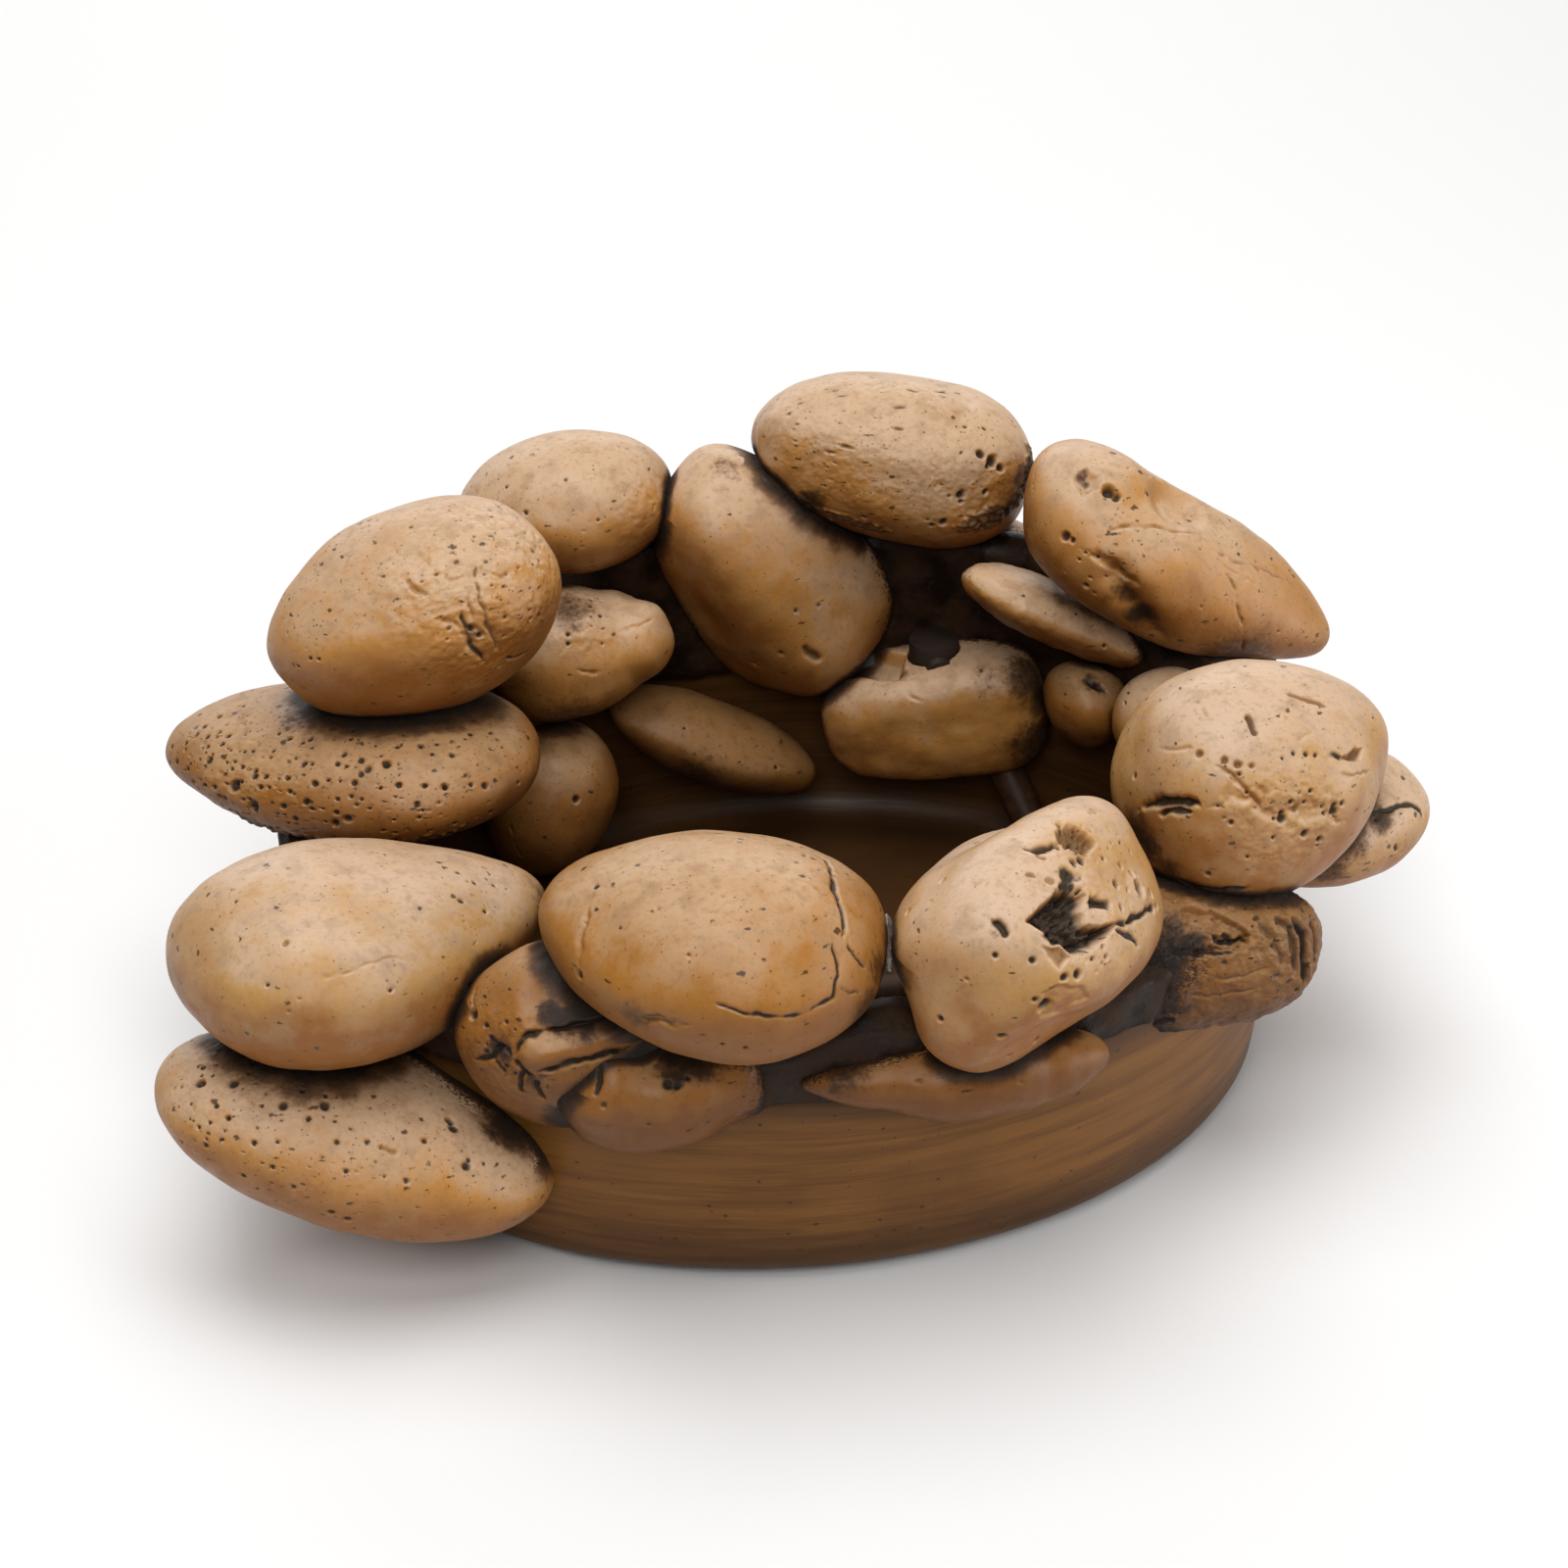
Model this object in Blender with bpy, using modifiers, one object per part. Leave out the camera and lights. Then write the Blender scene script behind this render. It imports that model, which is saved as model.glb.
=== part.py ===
"""Tabletop water fountain: an oval basin with a wall of river stones round its rim.

Metres, +Z up. The origin is the middle of the foot pad's underside, on the table.
-Y is the low front of the stone wall and +Y its high back, where the water comes out.
"""

import math
from collections import namedtuple

import bmesh
import bpy
from mathutils import Euler, Matrix, Vector, noise

MM = 0.001
CLEARANCE = 0.3 * MM  # gap kept between pieces that touch

# Foot pad
PAD_THICKNESS = 1.5 * MM
PAD_INSET = 9 * MM  # from the edge of the basin's flat underside

# Basin
RIM_LENGTH = 227 * MM  # outside, along X
RIM_DEPTH = 186 * MM  # outside, along Y
BASIN_HEIGHT = 50 * MM
BASE_SHRINK = 3 * MM  # how far the base lies inside the rim, all round
BASIN_WALL = 8 * MM
BASIN_FLOOR = 8 * MM
BASE_EDGE_RADIUS = 5 * MM
INNER_FILLET = 9 * MM
BASIN_SEGMENTS = 64

# Mortar wall that carries the stones
MORTAR_WIDTH = 12 * MM
MORTAR_FRONT_HEIGHT = 12 * MM
MORTAR_BACK_HEIGHT = 38 * MM
MORTAR_RISE_FROM = 5  # degrees behind the +X and -X ends where the wall starts to rise
MORTAR_RISE_TO = 45  # and where it reaches its back height
MORTAR_SEGMENTS = 48

# Pump: its motor block, then the volute and the intake cover towards the pool (+Y)
PUMP_X = -14 * MM
PUMP_BACK_IN = 27 * MM  # the block's back, in from the front of the rim
BLOCK_WIDTH = 38 * MM
BLOCK_LENGTH = 24 * MM
BLOCK_HEIGHT = 33 * MM
BLOCK_EDGE = 2.5 * MM
VOLUTE_WIDTH = 32 * MM
VOLUTE_HEIGHT = 28 * MM
VOLUTE_LENGTH = 12 * MM
CHAMBER_RADIUS = 11.5 * MM
CHAMBER_DEPTH = 8 * MM
INLET_RADIUS = 6 * MM
NOZZLE_RADIUS = 2.6 * MM
NOZZLE_BORE = 1.7 * MM  # radius
NOZZLE_RISE = 7 * MM  # of the outlet, above the pump's axis

# Rotor
MAGNET_RADIUS = 7.3 * MM
MAGNET_LENGTH = 16 * MM
ROTOR_GAP = 0.9 * MM  # round the magnet and ahead of the blades
IMPELLER_RADIUS = 10 * MM
IMPELLER_DISC = 1.4 * MM
BLADE_COUNT = 6
BLADE_THICKNESS = 1.2 * MM
BLADE_DEPTH = 4 * MM
SHAFT_RADIUS = 1 * MM
BUSH_RADIUS = 2.6 * MM
BUSH_LENGTH = 2.4 * MM

# Intake
COVER_LENGTH = 13 * MM
COVER_WALL = 1.6 * MM
COVER_LAP = 4 * MM  # how far the cover slips over the volute
SLOT_COUNT = 5
SLOT_WIDTH = 2 * MM
SLOT_HEIGHT = 12 * MM
SLOT_PITCH = 4.5 * MM
RAIL_SIZE = 2 * MM
GATE_WIDTH = 14 * MM
GATE_HEIGHT = 14 * MM
GATE_THICKNESS = 1.6 * MM
KNOB_RADIUS = 1.8 * MM
KNOB_LENGTH = 2.4 * MM
SPONGE_LENGTH = 6 * MM

# Suction cups and cord gland
CUP_RADIUS = 5 * MM
CUP_HEIGHT = 4 * MM
CUP_STEM_RADIUS = 1.8 * MM
CUP_STEM_LENGTH = 2 * MM
CUP_SPACING_X = 24 * MM
CUP_SPACING_Y = 13 * MM
GLAND_RADIUS = 3.2 * MM
GLAND_LENGTH = 4 * MM
GLAND_POCKET = 2 * MM
GLAND_BOOT_RADIUS = 2.2 * MM
GLAND_BOOT_LENGTH = 6 * MM

# Riser tube and spout
TUBE_WALL = 1.4 * MM
TUBE_LAP = 8 * MM  # over the nozzle
TUBE_BEND = 10 * MM  # radius of its bends
TUBE_RUN_IN = 40 * MM  # its run along the floor, in from the +X end of the rim
TUBE_RUN_END_IN = 51 * MM  # where the run starts to climb, in from the back of the rim
KNEE_ANGLE = 49.2  # degrees round the rim from +X, behind the spill stone
KNEE_IN = 11.4 * MM  # in from the middle of the rim
KNEE_DROP = 16 * MM  # below the rim's top
RISER_ANGLE = 59.4
RISER_FOOT_DROP = 3 * MM  # where it turns upright, below the rim's top
RISER_RISE = 7 * MM  # the tube's top end, above the rim's top
SPOUT_WALL = 1.4 * MM
SPOUT_LAP = 4.5 * MM  # over the tube
SPOUT_MOUTH = 7 * MM  # reach of the mouth from the riser
SPOUT_DROP = 12  # degrees, how far the mouth points down

# Stones
WALL_LENGTH = 227 * MM  # the rim that the stones' sizes are given for: they grow with it
WALL_DEPTH = 186 * MM
PEBBLE_NOISE = 0.05  # share of the radius
PEBBLE_NOISE_SCALE = 1.4
PEBBLE_SUBDIVISIONS = 3

# Sizes that follow from those above
RIM_TOP = PAD_THICKNESS + CLEARANCE + BASIN_HEIGHT
FLOOR_TOP = PAD_THICKNESS + CLEARANCE + BASIN_FLOOR
BLOCK_BOTTOM = FLOOR_TOP + CUP_HEIGHT
AXIS_Z = BLOCK_BOTTOM + BLOCK_HEIGHT / 2
PUMP_BACK_Y = PUMP_BACK_IN - RIM_DEPTH / 2
VOLUTE_BACK_Y = PUMP_BACK_Y + BLOCK_LENGTH + CLEARANCE
VOLUTE_FRONT_Y = VOLUTE_BACK_Y + VOLUTE_LENGTH
COVER_FRONT_Y = VOLUTE_FRONT_Y - COVER_LAP + COVER_LENGTH
NOZZLE_Z = AXIS_Z + NOZZLE_RISE
NOZZLE_Y = VOLUTE_BACK_Y + CHAMBER_DEPTH / 2
NOZZLE_TIP_X = PUMP_X + max(BLOCK_WIDTH, VOLUTE_WIDTH + 2 * COVER_WALL) / 2 + 2 * CLEARANCE + TUBE_LAP
TUBE_BORE = NOZZLE_RADIUS + CLEARANCE
TUBE_RADIUS = TUBE_BORE + TUBE_WALL
TUBE_RUN_X = RIM_LENGTH / 2 - TUBE_RUN_IN
TUBE_RUN_END_Y = RIM_DEPTH / 2 - TUBE_RUN_END_IN
TUBE_RUN_Z = FLOOR_TOP + CLEARANCE + TUBE_RADIUS
SOCKET_BORE = TUBE_RADIUS + CLEARANCE
SOCKET_RADIUS = SOCKET_BORE + SPOUT_WALL
RISER_IN = MORTAR_WIDTH / 2 + SOCKET_RADIUS + 1.5 * CLEARANCE
WELL_RADIUS = MAGNET_RADIUS + ROTOR_GAP
MAGNET_FRONT_Y = VOLUTE_BACK_Y - CLEARANCE - ROTOR_GAP
MAGNET_BACK_Y = MAGNET_FRONT_Y - MAGNET_LENGTH
WELL_BACK_Y = MAGNET_BACK_Y - ROTOR_GAP
BUSH_POCKET_RADIUS = BUSH_RADIUS + CLEARANCE
BUSH_POCKET_DEPTH = BUSH_LENGTH + CLEARANCE
HUB_BACK_Y = VOLUTE_BACK_Y + CHAMBER_DEPTH
HUB_RADIUS = BUSH_POCKET_RADIUS + 1 * MM

# ---------------------------------------------------------------- tools


def clear_scene():
    for obj in list(bpy.data.objects):
        bpy.data.objects.remove(obj, do_unlink=True)


def collection(name):
    made = bpy.data.collections.new(name)
    bpy.context.scene.collection.children.link(made)
    return made


def material(name, colour, roughness, metallic=0.0):
    made = bpy.data.materials.new(name)
    made.use_nodes = True
    shader = made.node_tree.nodes["Principled BSDF"]
    shader.inputs["Base Color"].default_value = (*colour, 1.0)
    shader.inputs["Roughness"].default_value = roughness
    shader.inputs["Metallic"].default_value = metallic
    return made


def link(obj, group, finish=None):
    group.objects.link(obj)
    if finish:
        obj.data.materials.clear()
        obj.data.materials.append(finish)
    return obj


def object_from(shape, name):
    """A new object that holds the bmesh's faces."""
    mesh = bpy.data.meshes.new(name)
    bmesh.ops.recalc_face_normals(shape, faces=shape.faces)
    shape.to_mesh(mesh)
    shape.free()
    return bpy.data.objects.new(name, mesh)


def as_cutter(obj):
    obj.hide_render = True
    obj.display_type = "WIRE"
    return link(obj, CUTTERS)


def boolean(obj, other, operation="DIFFERENCE"):
    modifier = obj.modifiers.new(operation.title(), "BOOLEAN")
    modifier.object = other
    modifier.operation = operation
    modifier.solver = "EXACT"
    return modifier


def settle(obj):
    """Applies the modifiers and keeps the largest piece that they leave."""
    bpy.context.view_layer.update()
    graph = bpy.context.evaluated_depsgraph_get()
    mesh = bpy.data.meshes.new_from_object(obj.evaluated_get(graph))
    obj.modifiers.clear()
    obj.data = mesh
    shape = bmesh.new()
    shape.from_mesh(mesh)
    bmesh.ops.remove_doubles(shape, verts=shape.verts, dist=1e-6)
    pieces = loose_pieces(shape)
    main = max(pieces, key=extent)
    others = [vert for piece in pieces if piece is not main for vert in piece]
    bmesh.ops.delete(shape, geom=others, context="VERTS")
    shape.to_mesh(mesh)
    shape.free()
    return obj


def loose_pieces(shape):
    """The bmesh's vertices, in one list for each connected piece."""
    waiting = set(shape.verts)
    pieces = []
    while waiting:
        piece = [waiting.pop()]
        for vert in piece:
            for edge in vert.link_edges:
                other = edge.other_vert(vert)
                if other in waiting:
                    waiting.remove(other)
                    piece.append(other)
        pieces.append(piece)
    return pieces


def extent(verts):
    """Diagonal of the box round some vertices."""
    low = [min(vert.co[axis] for vert in verts) for axis in range(3)]
    high = [max(vert.co[axis] for vert in verts) for axis in range(3)]
    return (Vector(high) - Vector(low)).length


def cylinder(name, radius, start, end, segments=24, tip=None):
    """Round bar from start to end; tip is the radius at its end if it tapers."""
    start, end = Vector(start), Vector(end)
    shape = bmesh.new()
    turn = (end - start).to_track_quat("Z", "Y").to_matrix().to_4x4()
    bmesh.ops.create_cone(
        shape, cap_ends=True, segments=segments, depth=(end - start).length,
        radius1=radius, radius2=radius if tip is None else tip,
        matrix=Matrix.Translation((start + end) / 2) @ turn,
    )
    return object_from(shape, name)


def box(name, low, high):
    """Box between two opposite corners."""
    low, high = Vector(low), Vector(high)
    shape = bmesh.new()
    size = Matrix.Diagonal((*(high - low), 1))
    bmesh.ops.create_cube(shape, size=1, matrix=Matrix.Translation((low + high) / 2) @ size)
    return object_from(shape, name)


def round_edges(obj, width, segments=3):
    modifier = obj.modifiers.new("Round", "BEVEL")
    modifier.width = width
    modifier.segments = segments
    modifier.limit_method = "ANGLE"
    return obj


def joined(obj, *others):
    """Unites obj with the others."""
    for other in others:
        boolean(obj, as_cutter(other), "UNION")
    return settle_linked(obj)


def carved(obj, *others):
    """Cuts the others out of obj."""
    for other in others:
        boolean(obj, as_cutter(other))
    return settle_linked(obj)


def settle_linked(obj):
    """settle for an object that isn't in a collection yet."""
    bpy.context.scene.collection.objects.link(obj)
    settle(obj)
    bpy.context.scene.collection.objects.unlink(obj)
    return obj


# ---------------------------------------------------------------- basin


def rim_point(angle, out=0.0, up=0.0):
    """A point beside the middle of the rim: angle in degrees from +X, out along the rim's normal."""
    turn = math.radians(angle)
    half_length = (RIM_LENGTH - BASIN_WALL) / 2
    half_depth = (RIM_DEPTH - BASIN_WALL) / 2
    point = Vector((half_length * math.cos(turn), half_depth * math.sin(turn), RIM_TOP + up))
    normal = Vector((half_depth * math.cos(turn), half_length * math.sin(turn), 0)).normalized()
    return point + normal * out


def arc(centre_x, centre_z, radius, start, end, steps):
    """Points of an arc in the profile plane, angles in degrees."""
    for step in range(steps + 1):
        turn = math.radians(start + (end - start) * step / steps)
        yield centre_x + radius * math.cos(turn), centre_z + radius * math.sin(turn)


def basin_profile(grow):
    """Half section of the basin, from the axis down the outside and back up to the axis inside."""
    rim = RIM_LENGTH / 2 + grow
    base = rim - BASE_SHRINK
    inner_rim = rim - BASIN_WALL - 2 * grow
    inner_base = base - BASIN_WALL - 2 * grow
    bottom = PAD_THICKNESS + CLEARANCE - grow
    top = RIM_TOP + grow
    floor = bottom + BASIN_FLOOR + 2 * grow
    lip = (rim - inner_rim) / 2
    yield 0.0, floor
    yield from arc(inner_base - INNER_FILLET, floor + INNER_FILLET, INNER_FILLET, -90, -8, 4)
    yield inner_base + 0.6 * (inner_rim - inner_base), floor + 0.45 * (top - floor)
    yield from arc(inner_rim + lip, top - lip, lip, 180, 0, 5)
    yield base + 0.75 * (rim - base), bottom + 0.5 * (top - bottom)
    yield from arc(base - BASE_EDGE_RADIUS, bottom + BASE_EDGE_RADIUS, BASE_EDGE_RADIUS, -5, -90, 4)
    yield 0.0, bottom


def basin_body(name, grow=0.0):
    """The basin, turned about Z and drawn in to its depth along Y. grow thickens it all round."""
    mesh = bpy.data.meshes.new(name)
    points = [(x, 0.0, z) for x, z in basin_profile(grow)]
    mesh.from_pydata(points, [(i, i + 1) for i in range(len(points) - 1)], [])
    obj = bpy.data.objects.new(name, mesh)
    screw = obj.modifiers.new("Turn", "SCREW")
    screw.steps = screw.render_steps = BASIN_SEGMENTS
    screw.use_merge_vertices = True
    screw.merge_threshold = 0.00005
    screw.use_smooth_shade = True
    obj.scale.y = (RIM_DEPTH + 2 * grow) / (RIM_LENGTH + 2 * grow)
    return obj


def foot_pad(name):
    """Oval sheet under the basin."""
    inset = BASE_SHRINK + BASE_EDGE_RADIUS + PAD_INSET
    shape = bmesh.new()
    bmesh.ops.create_cone(
        shape, cap_ends=True, segments=BASIN_SEGMENTS,
        radius1=1, radius2=1, depth=PAD_THICKNESS,
    )
    half_length = RIM_LENGTH / 2 - inset
    half_depth = RIM_DEPTH / 2 - inset
    bmesh.ops.scale(shape, vec=(half_length, half_depth, 1), verts=shape.verts)
    bmesh.ops.translate(shape, vec=(0, 0, PAD_THICKNESS / 2), verts=shape.verts)
    return object_from(shape, name)


# ---------------------------------------------------------------- mortar wall


def mortar_height(angle):
    """Height of the mortar wall above the rim."""
    behind = math.degrees(math.asin(math.sin(math.radians(angle))))
    share = min(max((behind - MORTAR_RISE_FROM) / (MORTAR_RISE_TO - MORTAR_RISE_FROM), 0), 1)
    return MORTAR_FRONT_HEIGHT + (MORTAR_BACK_HEIGHT - MORTAR_FRONT_HEIGHT) * share


def mortar_section(angle, grow):
    """Section of the wall: (out, up) pairs, with its top corners cut off."""
    half = MORTAR_WIDTH / 2 + grow
    low = CLEARANCE - grow
    high = mortar_height(angle) + grow
    corner = min(half, high) * 0.6
    yield half, low
    yield half, high - corner
    yield half - corner, high
    yield corner - half, high
    yield -half, high - corner
    yield -half, low


def mortar_body(name, grow=0.0):
    """A ring on the rim, low in front and high at the back."""
    shape = bmesh.new()
    rings = []
    for segment in range(MORTAR_SEGMENTS):
        angle = 360 * segment / MORTAR_SEGMENTS
        section = mortar_section(angle, grow)
        rings.append([shape.verts.new(rim_point(angle, out, up)) for out, up in section])
    for ring, following in zip(rings, rings[1:] + rings[:1]):
        for here, beside in zip(range(len(ring)), [*range(1, len(ring)), 0]):
            shape.faces.new((ring[here], ring[beside], following[beside], following[here]))
    return object_from(shape, name)


# ---------------------------------------------------------------- stones

# place: angle round the rim in degrees, then out from it and up from its top, in mm.
# size: length, width and thickness in mm. turn: yaw, pitch and roll in degrees, where pitch
# lifts the +X end and roll lifts the +Y side. egg thins the +X end, box squares the outline,
# bend lifts both ends, and each lump is (yaw, pitch, height as a share, spread in degrees).
Stone = namedtuple("Stone", "name place size turn egg box bend lumps", defaults=(0.0, 0.0, 0.0, ()))

STONES = (
    # Cap stones, which ride on the mortar wall
    Stone("stone_front_oval", (-108, -3, 35), (75, 63, 41), (-38, 2, -7), egg=-0.13),
    Stone(
        "stone_front_pitted", (-72, -2, 29), (73, 47, 46), (55, -6, -37), egg=0.02, box=0.4,
        lumps=((-160, -55, -0.26, 25), (130, 12, -0.1, 25), (0, 66, -0.23, 30)),
    ),
    Stone("stone_right_fissured", (-25, -1, 31), (65, 54, 50), (20, 5, -1), egg=0.24),
    Stone(
        "stone_right_back_saddle", (25.3, 4.3, 43), (83, 51, 33), (-16, -31, 13), egg=0.35,
        lumps=((104, 38, -0.44, 36),),
    ),
    Stone("stone_back_crown", (67, 0, 55), (67, 48, 38), (-5, -14, -11), egg=-0.13, box=0.2),
    Stone("stone_back_left_cap", (108, 4, 48), (51, 44, 32), (1, 2, -7), egg=-0.1),
    Stone("stone_left_top", (150, -20, 54), (68, 55, 45), (12, 12, -9), egg=-0.12),
    Stone("stone_left_front_broad", (-152, 4, 19), (84, 62, 38), (24, -4, -2), egg=0.34),
    Stone("stone_left_flat", (160, -9, 22), (89, 61, 28), (-31, 5, -3), egg=-0.14),
    # Outer stones
    Stone("stone_left_foot", (-146, 20, -17), (87, 55, 36), (-14, -16, -6), egg=0.02),
    Stone("stone_front_left_cracked", (-124, -1, 10), (50, 38, 41), (-6, -2, 3), egg=-0.01),
    Stone("stone_front_left_wedge", (-114, 1, 2), (45, 31, 30), (12, -3, 9), egg=0.01),
    Stone("stone_front_low_ledge", (-82, 3, 2), (65, 23, 16), (4, -4, -4), egg=-0.16),
    Stone("stone_right_log", (-44, -3, 2), (58, 34, 31), (4, -2, -8), egg=0.02, box=0.4),
    Stone("stone_right_outer", (-12, 12, 8), (53, 44, 29), (15, -6, 0)),
    Stone("stone_back_outer_right", (58, 11, 16), (58, 30, 40), (-34, 4, 12)),
    Stone("stone_back_outer_middle", (92, 13, 12), (66, 32, 38), (2, -6, 14)),
    Stone("stone_back_outer_left", (124, 12, 14), (60, 34, 42), (32, 6, 12)),
    Stone("stone_right_back_outer", (28, 12, 12), (56, 34, 38), (-60, 8, 10)),
    # Inner stones
    Stone("stone_back_tall", (83, -6, 28), (70, 43, 43), (14, -56, -15), egg=-0.14, box=0.3),
    Stone("stone_inner_wedge", (112, -14, 18), (42, 36, 31), (-7, 5, -4), egg=0.25),
    Stone("stone_inner_round", (119, -19, -17), (31, 38, 38), (-22, -20, 1), egg=-0.02),
    Stone("stone_inner_sloping", (91.6, -16.5, -13.6), (56, 29, 19), (-5, -26, -7), egg=0.05),
    Stone("stone_inner_spill", (59, -13, -6), (54, 29, 31), (-14, 8, 0), egg=-0.1, box=0.7),
    Stone("stone_inner_slab", (38, -11, 25), (57, 30, 14), (-5, -29, -16), egg=0.22),
    Stone("stone_inner_small", (33, -13, 6), (19, 24, 20), (12, 17, -2), egg=0.13),
    Stone("stone_inner_pebble", (16, -10, 11), (26, 24, 25), (-2, -3, 1)),
)


def direction(yaw, pitch):
    return Euler((0, -math.radians(pitch), math.radians(yaw))).to_matrix() @ Vector((1, 0, 0))


def pebble_point(unit, spec, seed):
    """Where a point of the unit sphere goes on a stone of unit half size."""
    power = 2 + 2 * spec.box
    reach = sum(abs(value) ** power for value in unit) ** (-1 / power)
    for yaw, pitch, height, spread in spec.lumps:
        away = math.degrees(unit.angle(direction(yaw, pitch)))
        reach *= 1 + height * math.exp(-((away / spread) ** 2))
    offset = Vector((seed * 7.3, seed * 3.1, seed * 5.7))
    reach *= 1 + PEBBLE_NOISE * noise.noise(unit * PEBBLE_NOISE_SCALE + offset)
    point = unit * reach
    point.y *= 1 - spec.egg * point.x
    point.z *= 1 - spec.egg * point.x
    point.z += spec.bend * (point.x**2 - 0.5)
    return point


def pebble(spec, seed, grow=0.0):
    """One river stone, in place. grow swells it by that much all round."""
    shape = bmesh.new()
    bmesh.ops.create_icosphere(shape, subdivisions=PEBBLE_SUBDIVISIONS, radius=1)
    half = [side * MM / 2 for side in spec.size]
    for vert in shape.verts:
        point = pebble_point(vert.co.normalized(), spec, seed)
        vert.co = Vector(value * side for value, side in zip(point, half))
    shape.normal_update()
    for vert, normal in [(vert, vert.normal.copy()) for vert in shape.verts]:
        vert.co += normal * grow
    yaw, pitch, roll = (math.radians(value) for value in spec.turn)
    angle, out, up = spec.place
    spin = Euler((roll, -pitch, yaw)).to_matrix().to_4x4()
    stretch = Matrix.Diagonal((RIM_LENGTH / WALL_LENGTH, RIM_DEPTH / WALL_DEPTH, 1, 1))
    place = Matrix.Translation(rim_point(angle, out * MM, up * MM))
    shape.transform(place @ stretch @ spin)
    return object_from(shape, spec.name)


def boxes_meet(one, other):
    """True if the boxes round two stones overlap."""
    for axis in range(3):
        sides = [vert.co[axis] for vert in one.data.vertices]
        other_sides = [vert.co[axis] for vert in other.data.vertices]
        if max(sides) < min(other_sides) or max(other_sides) < min(sides):
            return False
    return True


def lay_stones(group, finish, carriers):
    """Lays the stones in order. Each is dressed to fit its carriers and the stones laid before it."""
    laid = []
    for seed, spec in enumerate(STONES):
        stone = link(pebble(spec, seed), group, finish)
        bpy.context.view_layer.update()
        for carrier in carriers:
            boolean(stone, carrier)
        for swollen in laid:
            if boxes_meet(stone, swollen):
                boolean(stone, swollen)
        laid.append(as_cutter(pebble(spec, seed, CLEARANCE)))
        bpy.context.view_layer.update()
        settle(stone)
        stone.data.shade_smooth()


# ---------------------------------------------------------------- pump


def on_axis(x=0.0, y=0.0, z=0.0):
    """A point given from the pump's axis, at the back of its motor block."""
    return Vector((PUMP_X + x, PUMP_BACK_Y + y, AXIS_Z + z))


def along_axis(name, radius, start_y, end_y, segments=24):
    return cylinder(name, radius, (PUMP_X, start_y, AXIS_Z), (PUMP_X, end_y, AXIS_Z), segments)


def cup_places():
    middle_y = PUMP_BACK_Y + BLOCK_LENGTH / 2
    for side_x in (-1, 1):
        for side_y in (-1, 1):
            yield PUMP_X + side_x * CUP_SPACING_X / 2, middle_y + side_y * CUP_SPACING_Y / 2


def motor_block(name):
    """Potted motor with a well for the rotor, sockets for the cups and a pocket for the gland."""
    half = BLOCK_WIDTH / 2
    block = round_edges(
        box(name, on_axis(-half, 0, -BLOCK_HEIGHT / 2), on_axis(half, BLOCK_LENGTH, BLOCK_HEIGHT / 2)),
        BLOCK_EDGE,
    )
    front = PUMP_BACK_Y + BLOCK_LENGTH + CLEARANCE
    tools = [
        along_axis("well", WELL_RADIUS, WELL_BACK_Y, front, 32),
        along_axis("rear_bush_pocket", BUSH_POCKET_RADIUS, WELL_BACK_Y - BUSH_POCKET_DEPTH, front),
        cylinder(
            "gland_pocket", GLAND_RADIUS + CLEARANCE,
            on_axis(-half - CLEARANCE, BLOCK_LENGTH / 2), on_axis(GLAND_POCKET - half, BLOCK_LENGTH / 2),
        ),
    ]
    for x, y in cup_places():
        top = BLOCK_BOTTOM + CUP_STEM_LENGTH + CLEARANCE
        low = BLOCK_BOTTOM - CLEARANCE
        tools.append(cylinder("cup_socket", CUP_STEM_RADIUS + CLEARANCE, (x, y, low), (x, y, top), 16))
    return carved(block, *tools)


def volute(name):
    """Impeller chamber with the inlet in front, the bush in its bridge, and the outlet nozzle on +X."""
    back, front = VOLUTE_BACK_Y, VOLUTE_FRONT_Y
    low = (PUMP_X - VOLUTE_WIDTH / 2, back, AXIS_Z - VOLUTE_HEIGHT / 2)
    high = (PUMP_X + VOLUTE_WIDTH / 2, front, AXIS_Z + VOLUTE_HEIGHT / 2)
    outlet_start = Vector((PUMP_X, NOZZLE_Y, NOZZLE_Z))
    outlet_end = Vector((NOZZLE_TIP_X, NOZZLE_Y, NOZZLE_Z))
    beyond = Vector((CLEARANCE, 0, 0))
    bridge = box(
        "bridge",
        (PUMP_X - INLET_RADIUS - CLEARANCE, HUB_BACK_Y, AXIS_Z - BLADE_THICKNESS),
        (PUMP_X + INLET_RADIUS + CLEARANCE, front, AXIS_Z + BLADE_THICKNESS),
    )
    body = joined(
        box(name, low, high),
        cylinder("nozzle", NOZZLE_RADIUS, outlet_start, outlet_end),
    )
    body = carved(
        body,
        along_axis("chamber", CHAMBER_RADIUS, back - CLEARANCE, HUB_BACK_Y, 32),
        along_axis("inlet", INLET_RADIUS, back, front + CLEARANCE, 32),
        cylinder("outlet", NOZZLE_BORE, outlet_start, outlet_end + beyond, 16),
    )
    body = joined(body, bridge, along_axis("hub", HUB_RADIUS, HUB_BACK_Y, front))
    pocket_end = HUB_BACK_Y + BUSH_POCKET_DEPTH
    return carved(body, along_axis("bush_pocket", BUSH_POCKET_RADIUS, HUB_BACK_Y - CLEARANCE, pocket_end))


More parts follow.
